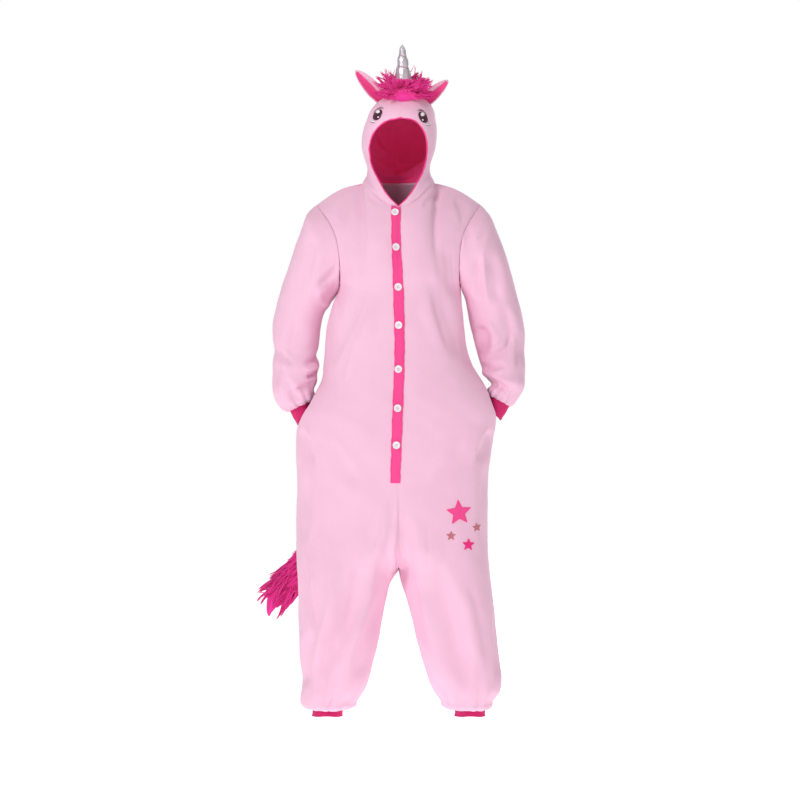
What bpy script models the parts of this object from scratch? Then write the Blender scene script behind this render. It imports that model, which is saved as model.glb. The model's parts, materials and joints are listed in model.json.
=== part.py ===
"""Unicorn costume: a one-piece hooded fleece suit, shaped as it is when worn.

Metres, +Z up, the front faces -Y. The origin is the middle of the neck, at the level of the
collar seam. Left and right are the wearer's: left is +X.
"""

import math

import bmesh
import bpy
import numpy as np
from mathutils import Vector
from mathutils.bvhtree import BVHTree

OBJECT = "unicorn_costume"

# Cloth and sewing
FLEECE = 0.0026  # wall of the body cloth
LINING = 0.0014  # wall of the hood lining and the pocket bags
SEAM = 0.0002  # each piece's edge stands back this far from its seam line
HOOD_SEAM = 0.0009  # the same for the hood, which meets the body at a sharp angle
SLEEVE_SEAM = 0.0018  # the same for the sleeves, which meet it at a sharper one
LIFT = 0.0004  # what lies on a panel stands this far off it
FAR_FRONT = 0.30  # well in front of the body
ROUNDNESS = 2.3  # exponent of the body's oval sections

# Grid of the panels
NECK_COLUMNS = 5  # from the centre line to the neck point
SHOULDER_COLUMNS = 5  # from the neck point to the shoulder tip
COLUMNS = NECK_COLUMNS + SHOULDER_COLUMNS
YOKE_ROWS = 7  # from the neckline to the underarm


def table(heads, rows):
    """A table as a dictionary: each named column is an array of its values."""
    return dict(zip(heads.split(), np.array(rows, float).T))


# Body from underarm to crotch. right and left are the side seams' distance from the centre plane,
# front and back the cloth's distance from it. reach is how far each half's oval goes past the
# centre plane, as a share of its width: it falls to nothing at the crotch, where the legs part.
TORSO = table(
    "z right left front back middle reach",
    [
        (-0.288, 0.172, 0.180, 0.150, 0.147, 0.000, 1.00),
        (-0.363, 0.200, 0.186, 0.153, 0.147, 0.000, 1.00),
        (-0.455, 0.212, 0.197, 0.155, 0.146, 0.000, 1.00),
        (-0.500, 0.216, 0.211, 0.156, 0.148, 0.000, 1.00),
        (-0.524, 0.219, 0.225, 0.157, 0.150, 0.001, 1.00),
        (-0.554, 0.223, 0.246, 0.158, 0.153, 0.002, 1.00),
        (-0.588, 0.246, 0.270, 0.159, 0.157, 0.003, 1.00),
        (-0.611, 0.264, 0.282, 0.160, 0.160, 0.004, 1.00),
        (-0.634, 0.280, 0.287, 0.161, 0.163, 0.005, 1.00),
        (-0.658, 0.290, 0.286, 0.161, 0.166, 0.006, 1.00),
        (-0.690, 0.294, 0.279, 0.162, 0.170, 0.007, 1.00),
        (-0.755, 0.295, 0.267, 0.162, 0.178, 0.008, 1.00),
        (-0.847, 0.292, 0.259, 0.160, 0.185, 0.010, 1.00),
        (-0.950, 0.295, 0.258, 0.156, 0.184, 0.011, 0.80),
        (-1.031, 0.295, 0.258, 0.152, 0.178, 0.012, 0.35),
        (-1.066, 0.293, 0.260, 0.150, 0.173, 0.012, 0.15),
        (-1.083, 0.293, 0.262, 0.149, 0.170, 0.012, 0.06),
        (-1.092, 0.292, 0.263, 0.148, 0.169, 0.012, 0.02),
        (-1.097, 0.292, 0.264, 0.147, 0.168, 0.012, 0.00),
    ],
)
# Legs from crotch to hem: distances of the inner and outer seam from the centre plane.
LEGS = table(
    "z right_in right_out left_in left_out front back middle",
    [
        (-1.097, 0.000, 0.292, 0.000, 0.264, 0.147, 0.168, 0.012),
        (-1.123, 0.019, 0.290, 0.005, 0.267, 0.143, 0.160, 0.012),
        (-1.169, 0.033, 0.289, 0.019, 0.272, 0.137, 0.148, 0.011),
        (-1.215, 0.042, 0.289, 0.034, 0.277, 0.132, 0.140, 0.010),
        (-1.261, 0.050, 0.288, 0.045, 0.281, 0.128, 0.135, 0.009),
        (-1.308, 0.059, 0.286, 0.056, 0.287, 0.124, 0.131, 0.008),
        (-1.354, 0.071, 0.284, 0.068, 0.292, 0.119, 0.126, 0.007),
        (-1.400, 0.082, 0.278, 0.082, 0.297, 0.112, 0.119, 0.006),
        (-1.423, 0.091, 0.275, 0.091, 0.297, 0.107, 0.114, 0.005),
        (-1.446, 0.103, 0.282, 0.103, 0.291, 0.101, 0.108, 0.004),
        (-1.468, 0.118, 0.283, 0.120, 0.273, 0.092, 0.098, 0.003),
    ],
)
TORSO_LEVELS = (
    -0.288, -0.340, -0.395, -0.450, -0.505, -0.545, -0.580, -0.615, -0.650, -0.685, -0.715,
    -0.780, -0.860, -0.940, -1.000, -1.045, -1.072, -1.088, -1.097,
)
LEG_LEVELS = (-1.130, -1.185, -1.245, -1.305, -1.360, -1.405, -1.440, -1.468)
# Leg hem, gathered into its cuff: level, share of the way in to the cuff, height of the gathers.
HEM = table(
    "z inward gather",
    [(-1.482, 0.10, 0.003), (-1.491, 0.42, 0.005), (-1.492, 0.80, 0.003), (-1.481, 1.00, 0.0)],
)
ANKLE_TOP = -1.470
ANKLE_BOTTOM = -1.515
ANKLE_X = {"right": -0.2045, "left": 0.2060}
ANKLE_HALF = (0.0420, 0.0440)  # half width and half depth
CUFF_WALL = 0.0030
RIB = 0.0008
HEM_EASE = 0.0014  # the hem's turned edge stands this far off the cuff's ribs

# Pocket mouths in the side seams: top, bottom, and how far the front and the back edge stand open,
# and half the depth of the bag behind it.
POCKETS = {
    "right": {"top": -0.545, "bottom": -0.715, "front": 0.066, "back": 0.050, "bag": 0.0404},
    "left": {"top": -0.524, "bottom": -0.700, "front": 0.066, "back": 0.050, "bag": 0.0428},
}
# The bags, from the mouth inwards: inward distance, half height, share of the half depth, drop
BAG = (
    (0.016, 0.074, 1.00, 0.006),
    (0.034, 0.077, 1.02, 0.012),
    (0.062, 0.080, 0.96, 0.024),
    (0.095, 0.080, 0.80, 0.040),
    (0.122, 0.070, 0.52, 0.052),
    (0.136, 0.046, 0.26, 0.058),
)
BAG_STEPS = 16  # corners round a bag
BAG_END = 0.006  # from the last row to the rounded end

# Neckline and shoulder
NECK_FRONT = Vector((0.0, -0.115, -0.059))
NECK_POINT = Vector((0.105, 0.005, 0.020))
NECK_BACK = Vector((0.0, 0.088, 0.024))
SHOULDER_TIP = Vector((0.238, 0.012, -0.042))
SHOULDER_RISE = 0.011
CENTRE_FRONT = table(
    "z y", [(-0.059, -0.115), (-0.105, -0.132), (-0.160, -0.144), (-0.220, -0.149), (-0.288, -0.150)]
)
CENTRE_BACK = table(
    "z y", [(0.024, 0.088), (-0.050, 0.118), (-0.120, 0.138), (-0.200, 0.147), (-0.288, 0.147)]
)
ARMHOLE_FRONT = table(
    "x y z",
    [
        (0.238, 0.012, -0.042),
        (0.215, -0.043, -0.075),
        (0.190, -0.078, -0.118),
        (0.177, -0.090, -0.165),
        (0.173, -0.084, -0.222),
        (0.175, -0.050, -0.268),
        (0.180, 0.000, -0.288),
    ],
)
ARMHOLE_BACK = table(
    "x y z",
    [
        (0.238, 0.012, -0.042),
        (0.224, 0.060, -0.078),
        (0.208, 0.090, -0.125),
        (0.198, 0.101, -0.175),
        (0.191, 0.092, -0.228),
        (0.185, 0.055, -0.270),
        (0.180, 0.000, -0.288),
    ],
)
UNDERARM_X = {"right": 0.172, "left": 0.180}

# Sleeves, section by section: outer and inner edge seen from the front, y of the middle, half depth.
SLEEVE_HEADS = "out_x out_z in_x in_z y depth"
SLEEVES = {
    "right": table(
        SLEEVE_HEADS,
        [
            (0.264, -0.070, 0.184, -0.309, 0.004, 0.096),
            (0.279, -0.108, 0.193, -0.322, 0.006, 0.094),
            (0.297, -0.160, 0.202, -0.338, 0.010, 0.091),
            (0.316, -0.216, 0.213, -0.352, 0.015, 0.088),
            (0.334, -0.268, 0.221, -0.374, 0.020, 0.085),
            (0.351, -0.322, 0.226, -0.400, 0.024, 0.083),
            (0.363, -0.378, 0.228, -0.430, 0.027, 0.081),
            (0.3645, -0.422, 0.232, -0.456, 0.026, 0.078),
            (0.359, -0.460, 0.236, -0.479, 0.022, 0.074),
            (0.3625, -0.498, 0.229, -0.503, 0.014, 0.075),
            (0.362, -0.535, 0.234, -0.527, 0.005, 0.069),
            (0.362, -0.575, 0.235, -0.552, -0.003, 0.064),
            (0.354, -0.607, 0.244, -0.575, -0.006, 0.053),
        ],
    ),
    "left": table(
        SLEEVE_HEADS,
        [
            (0.264, -0.074, 0.190, -0.309, 0.004, 0.096),
            (0.281, -0.112, 0.194, -0.322, 0.006, 0.094),
            (0.301, -0.163, 0.197, -0.338, 0.010, 0.091),
            (0.321, -0.225, 0.201, -0.357, 0.015, 0.088),
            (0.338, -0.283, 0.207, -0.384, 0.020, 0.085),
            (0.353, -0.340, 0.214, -0.412, 0.024, 0.083),
            (0.363, -0.392, 0.222, -0.442, 0.027, 0.081),
            (0.365, -0.432, 0.228, -0.468, 0.026, 0.078),
            (0.364, -0.468, 0.234, -0.492, 0.022, 0.074),
            (0.366, -0.502, 0.240, -0.514, 0.014, 0.075),
            (0.364, -0.535, 0.242, -0.530, 0.005, 0.069),
            (0.362, -0.563, 0.256, -0.543, -0.004, 0.066),
            (0.351, -0.590, 0.265, -0.559, -0.006, 0.053),
        ],
    ),
}
# Wrist cuffs: middle of the cuff's top ring, and the angle by which its axis leans inwards.
WRISTS = {
    "right": {"x": 0.2855, "z": -0.6120, "y": -0.005, "lean": math.radians(28.0)},
    "left": {"x": 0.2935, "z": -0.5975, "y": -0.005, "lean": math.radians(31.0)},
}
WRIST_HALF = (0.0340, 0.0310)
WRIST_LENGTH = 0.060
# Sleeve hem: distance along the cuff's axis, share of the way in to the cuff, gathers.
SLEEVE_HEM = table(
    "along inward gather",
    [(0.010, 0.18, 0.003), (0.015, 0.50, 0.004), (0.013, 0.85, 0.002), (0.004, 1.00, 0.0)],
)

# Hood from the neckline to the crown: level at the face edge and at the centre back, half width of
# the face opening and of the hood, and how far front and back stand from the origin.
HOOD = table(
    "z z_back opening width front back",
    [
        (-0.040, 0.036, 0.020, 0.0985, 0.114, 0.093),
        (-0.016, 0.048, 0.039, 0.0925, 0.111, 0.099),
        (0.014, 0.064, 0.056, 0.0895, 0.108, 0.109),
        (0.043, 0.086, 0.071, 0.0915, 0.107, 0.121),
        (0.077, 0.110, 0.082, 0.0990, 0.107, 0.133),
        (0.116, 0.140, 0.085, 0.1066, 0.108, 0.143),
        (0.151, 0.168, 0.076, 0.1066, 0.110, 0.147),
        (0.176, 0.191, 0.056, 0.1040, 0.112, 0.145),
        (0.190, 0.205, 0.032, 0.1000, 0.113, 0.140),
        (0.197, 0.212, 0.000, 0.0985, 0.113, 0.137),
        (0.228, 0.236, 0.000, 0.0900, 0.105, 0.120),
        (0.254, 0.256, 0.000, 0.0710, 0.083, 0.095),
        (0.269, 0.269, 0.000, 0.0420, 0.047, 0.060),
        (0.274, 0.274, 0.000, 0.0010, 0.001, 0.001),
    ],
)
COLLAR_ROWS = 6  # the rows above the neckline follow its dip, less and less
HOOD_MIDDLE = 0.015  # y of the hood's widest line
HOOD_LEAN = 0.013  # the crown sits this far towards the wearer's left

# Broad folds: half, face, where across the panel, top and bottom level, lean, width and depth.
FOLDS = (
    ("right", "front", 0.78, -0.33, -0.60, -0.05, 0.09, 0.010),
    ("left", "front", 0.80, -0.33, -0.58, -0.04, 0.09, 0.010),
    ("right", "front", 0.45, -0.88, -1.25, 0.22, 0.10, 0.009),
    ("left", "front", 0.40, -0.88, -1.25, 0.20, 0.10, 0.009),
    ("right", "front", 0.62, -1.20, -1.50, 0.06, 0.10, 0.009),
    ("left", "front", 0.55, -1.22, -1.50, -0.06, 0.10, 0.009),
    ("right", "front", 0.30, -1.30, -1.50, 0.04, 0.08, 0.007),
    ("left", "front", 0.80, -1.30, -1.50, 0.03, 0.08, 0.007),
    ("right", "back", 0.45, -0.30, -0.70, 0.05, 0.12, 0.010),
    ("left", "back", 0.45, -0.30, -0.70, 0.05, 0.12, 0.010),
    ("right", "back", 0.50, -0.90, -1.25, 0.15, 0.10, 0.010),
    ("left", "back", 0.50, -0.90, -1.25, 0.15, 0.10, 0.010),
    ("right", "back", 0.50, -1.22, -1.50, -0.06, 0.10, 0.010),
    ("left", "back", 0.45, -1.22, -1.50, 0.06, 0.10, 0.010),
)

# Front band with buttons: level, its left and right edge as seen, then the buttons' places
BAND = table(
    "z low high",
    [
        (-0.050, -0.0205, 0.0063),
        (-0.155, -0.0198, 0.0066),
        (-0.239, -0.0171, 0.0113),
        (-0.324, -0.0143, 0.0155),
        (-0.465, -0.0112, 0.0173),
        (-0.605, -0.0159, 0.0138),
        (-0.717, -0.0198, 0.0094),
        (-0.838, -0.0232, 0.0050),
    ],
)
BAND_CLOTH = 0.0022
BAND_COLUMNS = 3  # columns of panel points on each side that the band can lie on
UNDERLAP_WIDTH = 0.028
BUTTONS = table(
    "x z",
    [
        (-0.0098, -0.0765),
        (-0.0083, -0.1757),
        (-0.0016, -0.2875),
        (0.0013, -0.3947),
        (-0.0011, -0.5184),
        (-0.0033, -0.6280),
        (-0.0060, -0.7315),
    ],
)
BUTTON_RADIUS = 0.0107
BUTTON_HEIGHT = 0.0034
BUTTON_SEAT = 0.0009  # from the band to the back of a button
BUTTON_STEPS = 12  # corners round a button

# Stars on the left leg: middle, radius to the points, and tilt in degrees
STARS = {
    "star_large": (0.1703, -0.9227, 0.0385, 4.0),
    "star_medium": (0.1971, -1.0135, 0.0192, -4.0),
    "star_small_upper": (0.2214, -0.9660, 0.0138, 6.0),
    "star_small_lower": (0.1478, -0.9874, 0.0147, -2.0),
}
STAR_WAIST = 0.46  # radius of the inner corners, as a share of the points'
FELT = 0.0010

# Eyes on the hood: middle, half width, half height, slant in degrees
EYES = {
    "eye_right": (-0.0585, 0.2045, 0.0115, 0.0170, -34.0),
    "eye_left": (0.0691, 0.1970, 0.0115, 0.0170, 34.0),
}

# Ears: root on the hood, tip, half width, depth of the cup
EARS = {
    "right": ((-0.050, -0.004, 0.262), (-0.1235, -0.022, 0.3405), 0.0225, 0.013),
    "left": ((0.070, -0.004, 0.248), (0.1425, -0.022, 0.3125), 0.0205, 0.012),
}
EAR_INSET = 0.045  # how much smaller the inner piece is, as a share of the ear
EAR_GAP = 0.0007  # between the two pieces
EAR_MARGIN = 0.02  # the fur round an ear is cut back this share past its edge
EAR_ROOM = 0.0060  # and this far off its cloth

# Horn: distance from the base along its axis, radius
HORN = table(
    "along radius",
    [
        (0.000, 0.0240),
        (0.030, 0.0262),
        (0.046, 0.0248),
        (0.056, 0.0222),
        (0.072, 0.0216),
        (0.086, 0.0188),
        (0.092, 0.0166),
        (0.106, 0.0160),
        (0.118, 0.0128),
        (0.123, 0.0104),
        (0.136, 0.0092),
        (0.148, 0.0052),
        (0.154, 0.0000),
    ],
)
HORN_BASE = Vector((0.0160, -0.046, 0.2560))
HORN_TIP = Vector((0.0115, -0.050, 0.4105))
HORN_STEPS = 20  # corners round the horn
HORN_ROOM = 0.0010  # the fur round the horn is cut back this far off it

# Mane over the hood's centre line: y and z of the line, half width, height
MANE = table(
    "y z width height",
    [
        (-0.104, 0.254, 0.030, 0.020),
        (-0.086, 0.264, 0.054, 0.040),
        (-0.050, 0.270, 0.070, 0.058),
        (-0.006, 0.272, 0.068, 0.058),
        (0.040, 0.266, 0.056, 0.050),
        (0.082, 0.246, 0.044, 0.044),
        (0.116, 0.216, 0.036, 0.040),
        (0.134, 0.180, 0.032, 0.038),
        (0.134, 0.142, 0.030, 0.036),
        (0.120, 0.104, 0.026, 0.032),
        (0.104, 0.074, 0.016, 0.022),
    ],
)
MANE_X = 0.014
FUR_STEPS = 14  # corners round the mane and the tail
TUFT = 0.10  # how far tufts stand out, as a share of the radius

# Tail: its middle line and radius
TAIL = table(
    "x y z radius",
    [
        (-0.004, 0.170, -0.838, 0.020),
        (-0.016, 0.206, -0.856, 0.026),
        (-0.060, 0.244, -0.894, 0.034),
        (-0.120, 0.272, -0.948, 0.040),
        (-0.190, 0.290, -1.014, 0.044),
        (-0.260, 0.300, -1.082, 0.047),
        (-0.320, 0.302, -1.142, 0.047),
        (-0.364, 0.300, -1.192, 0.036),
        (-0.388, 0.298, -1.234, 0.016),
        (-0.392, 0.298, -1.258, 0.003),
    ],
)

TAIL_FLAT = 0.85  # depth of the tail, as a share of its width

SOFT_ANGLE = 60.0  # edges flatter than this are shaded smooth on rounded pieces
COLOURS = {
    "fleece_pink": (0.93, 0.56, 0.71, 0.95),
    "fleece_hot_pink": (1.00, 0.09, 0.34, 0.95),
    "fur_magenta": (0.87, 0.02, 0.22, 1.00),
    "rib_magenta": (0.70, 0.02, 0.16, 0.90),
    "felt_rose": (0.64, 0.16, 0.22, 0.90),
    "felt_magenta": (0.90, 0.02, 0.26, 0.90),
    "horn_silver": (0.72, 0.70, 0.74, 0.32),
    "eye_dark": (0.02, 0.01, 0.02, 0.35),
    "button_white": (0.90, 0.88, 0.92, 0.35),
}


def smooth(share):
    """A share from 0 to 1, eased at both ends."""
    share = min(max(share, 0.0), 1.0)
    return share * share * (3.0 - 2.0 * share)


def read(columns, head, key, at):
    """A column of a table at a value of its key column, by a smooth curve through its rows."""
    keys = columns[key]
    values = columns[head]
    if keys[0] > keys[-1]:
        keys, values = keys[::-1], values[::-1]
    at = min(max(at, keys[0]), keys[-1])
    i = min(max(int(np.searchsorted(keys, at)) - 1, 0), len(keys) - 2)
    steps = np.diff(values) / np.diff(keys)
    slopes = np.concatenate([[steps[0]], (steps[1:] + steps[:-1]) / 2, [steps[-1]]])
    turns = np.concatenate([[False], steps[1:] * steps[:-1] <= 0, [False]])
    slopes[turns] = 0.0
    span = keys[i + 1] - keys[i]
    t = (at - keys[i]) / span
    rise = values[i + 1] - values[i]
    a = slopes[i] * span - rise
    b = rise - slopes[i + 1] * span
    return values[i] + t * rise + t * (1 - t) * ((1 - t) * a + t * b)


def evenly(points, count):
    """count + 1 points at even distances along a line of points."""
    points = np.asarray(points, float)
    steps = np.linalg.norm(np.diff(points, axis=0), axis=1)
    along = np.concatenate([[0.0], np.cumsum(steps)])
    wanted = np.linspace(0.0, along[-1], count + 1)
    return np.stack([np.interp(wanted, along, points[:, axis]) for axis in range(3)], axis=1)


def curve_through(columns, heads, count, fine=12):
    """count + 1 even points on a smooth curve through a table's rows."""
    rows = np.stack([columns[head] for head in heads.split()], axis=1)
    before = np.concatenate([[2 * rows[0] - rows[1]], rows, [2 * rows[-1] - rows[-2]]])
    line = []
    for i in range(1, len(before) - 2):
        p0, p1, p2, p3 = before[i - 1 : i + 3]
        for t in np.linspace(0.0, 1.0, fine, endpoint=False):
            line.append(
                0.5 * (2 * p1 + (p2 - p0) * t + (2 * p0 - 5 * p1 + 4 * p2 - p3) * t**2)
                + 0.5 * (3 * p1 - p0 - 3 * p2 + p3) * t**3
            )
    line.append(before[-2])
    return evenly(line, count) if count else np.array(line)


def sign_of(side):
    return -1.0 if side == "right" else 1.0


def mouth_open(side, z):
    """How far open the pocket mouth is at a level, from 0 to 1."""
    pocket = POCKETS[side]
    share = (pocket["top"] - z) / (pocket["top"] - pocket["bottom"])
    return math.sin(math.pi * share) ** 1.4 if 0.0 < share < 1.0 else 0.0


def fold_depth(side, face, across, z):
    """How far the panel is drawn in at a point by its broad folds."""
    depth = 0.0
    for half, on, middle, top, bottom, lean, width, deepest in FOLDS:
        share = (top - z) / (top - bottom)
        if (half, on) != (side, face) or not 0.0 < share < 1.0:
            continue
        offset = (across - middle - lean * (share - 0.5)) / width
        depth += deepest * math.exp(-offset * offset) * math.sin(math.pi * share)
    return depth * math.sin(math.pi * across)


def half_ring(side, face, z, count):
    """The section of one panel at a level, from its centre or inner seam to its side seam."""
    if z >= LEGS["z"][0]:
        outer = read(TORSO, side, "z", z)
        inner = -outer * read(TORSO, "reach", "z", z)
        rows = TORSO
    else:
        outer = read(LEGS, side + "_out", "z", z)
        inner = read(LEGS, side + "_in", "z", z)
        rows = LEGS
    middle_y = read(rows, "middle", "z", z)
    forward = -1.0 if face == "front" else 1.0
    depth = read(rows, face, "z", z) - forward * middle_y
    middle_x = (inner + outer) / 2
    half = (outer - inner) / 2
    start = math.acos((middle_x / half) ** (ROUNDNESS / 2)) if inner < 0 else 0.0
    gap = POCKETS[side][face] * mouth_open(side, z)
    end = math.pi - math.asin((gap / depth) ** (ROUNDNESS / 2))
    line = []
    for angle in np.linspace(start, end, 160):
        turn = math.cos(angle)
        x = middle_x - half * math.copysign(abs(turn) ** (2 / ROUNDNESS), turn)
        y = middle_y + forward * depth * abs(math.sin(angle)) ** (2 / ROUNDNESS)
        line.append((x, y, z))
    line[0] = (max(inner, 0.0), line[0][1], z)
    points = evenly(line, count)
    for column, point in enumerate(points):
        inward = np.array([middle_x if inner > 0 else 0.0, middle_y, z]) - point
        inward /= max(np.linalg.norm(inward), 1e-6)
        point += inward * fold_depth(side, face, column / count, z)
    points[:, 0] *= sign_of(side)
    return points


def neckline(face, count):
    """The neck seam of the left half, from the centre line to the neck point."""
    line = []
    for turn in np.linspace(0.0, math.pi / 2, count + 1):
        x = NECK_POINT.x * math.sin(turn)
        if face == "front":
            y = NECK_POINT.y + (NECK_FRONT.y - NECK_POINT.y) * math.cos(turn)
            z = NECK_FRONT.z + (NECK_POINT.z - NECK_FRONT.z) * smooth(turn / math.radians(86))
        else:
            y = NECK_POINT.y + (NECK_BACK.y - NECK_POINT.y) * math.cos(turn)
            z = NECK_POINT.z + (NECK_BACK.z - NECK_POINT.z) * math.cos(turn)
        line.append((x, y, z))
    return np.array(line)


def shoulder_seam(count):
    line = []
    for share in np.linspace(0.0, 1.0, count + 1):
        point = NECK_POINT.lerp(SHOULDER_TIP, share)
        line.append((point.x, point.y, point.z + SHOULDER_RISE * math.sin(math.pi * share)))
    return np.array(line)


def armhole(side, face, count):
    """The armhole's seam from the shoulder tip to the underarm."""
    columns = ARMHOLE_FRONT if face == "front" else ARMHOLE_BACK
    line = curve_through(columns, "x y z", count)
    narrow = UNDERARM_X["left"] - UNDERARM_X[side]
    line[:, 0] -= narrow * np.linspace(0.0, 1.0, count + 1)
    line[:, 0] *= sign_of(side)
    return line


def yoke(side, face):
    """The panel above the underarm, filled in between its four edges."""
    top = np.concatenate([neckline(face, NECK_COLUMNS), shoulder_seam(SHOULDER_COLUMNS)[1:]])
    top[:, 0] *= sign_of(side)
    bottom = half_ring(side, face, TORSO_LEVELS[0], COLUMNS)
    centre = CENTRE_FRONT if face == "front" else CENTRE_BACK
    levels = np.linspace(centre["z"][0], centre["z"][-1], YOKE_ROWS + 1)
    inner = np.array([(0.0, read(centre, "y", "z", z), z) for z in levels])
    outer = armhole(side, face, YOKE_ROWS)
    grid = np.empty((YOKE_ROWS + 1, COLUMNS + 1, 3))
    for row in range(YOKE_ROWS + 1):
        v = row / YOKE_ROWS
        for column in range(COLUMNS + 1):
            u = column / COLUMNS
            corners = (1 - u) * ((1 - v) * top[0] + v * bottom[0])
            corners += u * ((1 - v) * top[-1] + v * bottom[-1])
            across = (1 - u) * inner[row] + u * outer[row]
            down = (1 - v) * top[column] + v * bottom[column]
            grid[row, column] = across + down - corners
    grid[0], grid[-1] = top, bottom
    grid[:, 0], grid[:, -1] = inner, outer
    return grid


def ankle_ring(side, face, z, count, ease):
    """Half of an oval round the ankle cuff, from the inner seam to the side seam."""
    forward = -1.0 if face == "front" else 1.0
    line = []
    for turn in np.linspace(0.0, math.pi, count + 1):
        x = ANKLE_X[side] - sign_of(side) * (ANKLE_HALF[0] + ease) * math.cos(turn)
        line.append((x, forward * (ANKLE_HALF[1] + ease) * math.sin(turn), z))
    return np.array(line)


def leg_hem(side, face):
    """The hem's rows: the leg turns under and in to its cuff, in gathers."""
    wide = half_ring(side, face, LEG_LEVELS[-1], COLUMNS)
    cuff = ankle_ring(side, face, ANKLE_TOP, COLUMNS, RIB + HEM_EASE)
    rows = []
    for z, inward, gather in zip(HEM["z"], HEM["inward"], HEM["gather"]):
        row = wide * (1 - inward) + cuff * inward
        row[:, 2] = z
        wave = gather * np.where(np.arange(COLUMNS + 1) % 2 == 0, 1.0, -1.0)
        row[:, 2] += wave * 0.7
        row += (wide - cuff) * (wave / 0.05)[:, None] * 0.5 * (1 - inward)
        rows.append(row)
    return rows


def body_panel(side, face):
    """One front or back piece, from the neckline and shoulder to the ankle."""
    rows = list(yoke(side, face))
    levels = TORSO_LEVELS[1:] + LEG_LEVELS
    rows += [half_ring(side, face, z, COLUMNS) for z in levels]
    return np.array(rows + leg_hem(side, face))


def wrist_frame(side):
    """The cuff's top middle, its outward, forward and downward directions."""
    wrist = WRISTS[side]
    sign = sign_of(side)
    lean = wrist["lean"]
    middle = np.array([sign * wrist["x"], wrist["y"], wrist["z"]])
    outward = np.array([sign * math.cos(lean), 0.0, -math.sin(lean)])
    down = np.array([-sign * math.sin(lean), 0.0, -math.cos(lean)])
    return middle, outward, np.array([0.0, -1.0, 0.0]), down


def sleeve(side):
    """A tube from the armhole to the wrist, its first column on top of the shoulder."""
    front = armhole(side, "front", YOKE_ROWS)
    back = armhole(side, "back", YOKE_ROWS)[::-1]
    loop = np.concatenate([front[:-1], back[:-1]])
    turns = np.linspace(0.0, 2 * math.pi, len(loop), endpoint=False)
    rows = [loop]
    columns = SLEEVES[side]
    for i in range(len(columns["y"])):
        outer = np.array([columns["out_x"][i], columns["y"][i], columns["out_z"][i]])
        inner = np.array([columns["in_x"][i], columns["y"][i], columns["in_z"][i]])
        outer[0] *= sign_of(side)
        inner[0] *= sign_of(side)
        half = (outer - inner) / 2
        forward = np.array([0.0, -columns["depth"][i], 0.0])
        middle = (outer + inner) / 2
        rows.append([middle + half * math.cos(t) + forward * math.sin(t) for t in turns])
    middle, outward, forward, down = wrist_frame(side)
    wide = np.array(rows[-1])
    for along, inward, gather in zip(*(SLEEVE_HEM[h] for h in ("along", "inward", "gather"))):
        ease = RIB + HEM_EASE
        cuff = np.array([
            middle
            + outward * (WRIST_HALF[0] + ease) * math.cos(t)
            + forward * (WRIST_HALF[1] + ease) * math.sin(t)
            for t in turns
        ])
        ring = wide * (1 - inward) + cuff * inward
        wave = gather * np.where(np.arange(len(turns)) % 2 == 0, 1.0, -1.0)
        ring += down * (along + (1 - inward) * 0.012 + wave[:, None] * 0.7)
        rows.append(ring)
    return np.array(rows)


def lean_hood(points):
    """The crown leans a little to the wearer's left."""
    for point in points:
        point[0] += HOOD_LEAN * smooth((point[2] - 0.12) / 0.15)
    return points


def hood_half(side):
    """Rows from the neckline up to the crown, columns from the face edge to the centre back."""
    neck = np.concatenate([neckline("front", NECK_COLUMNS), neckline("back", NECK_COLUMNS)[-2::-1]])
    rows = [neck]
    for i in range(len(HOOD["z"])):
        width, front, back = HOOD["width"][i], HOOD["front"][i], HOOD["back"][i]
        edge = math.asin(min((HOOD["opening"][i] / width), 1.0) ** (ROUNDNESS / 2))
        turns = np.concatenate([
            np.linspace(edge, math.pi / 2, NECK_COLUMNS + 1),
            np.linspace(math.pi / 2, math.pi, NECK_COLUMNS + 1)[1:],
        ])
        row = []
        settle = smooth((i + 1) / COLLAR_ROWS)
        for column, turn in enumerate(turns):
            reach = front + HOOD_MIDDLE if turn < math.pi / 2 else back - HOOD_MIDDLE
            share = smooth(column / (2 * NECK_COLUMNS))
            level = HOOD["z"][i] * (1 - share) + HOOD["z_back"][i] * share
            rise = (HOOD["z"][i] - neck[0, 2]) * (1 - share) + (HOOD["z_back"][i] - neck[-1, 2]) * share
            level += (1 - settle) * (neck[column, 2] + rise - level)
            swing = math.cos(turn)
            row.append((
                width * abs(math.sin(turn)) ** (2 / ROUNDNESS),
                HOOD_MIDDLE - reach * math.copysign(abs(swing) ** (2 / ROUNDNESS), swing),
                level,
            ))
        row[-1] = (0.0, row[-1][1], row[-1][2])
        rows.append(row)
    rows = np.array(rows)
    rows[-1] = (0.0, HOOD_MIDDLE, HOOD["z"][-1])
    rows[:, :, 0] *= sign_of(side)
    lean_hood(rows.reshape(-1, 3))
    return rows


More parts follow.
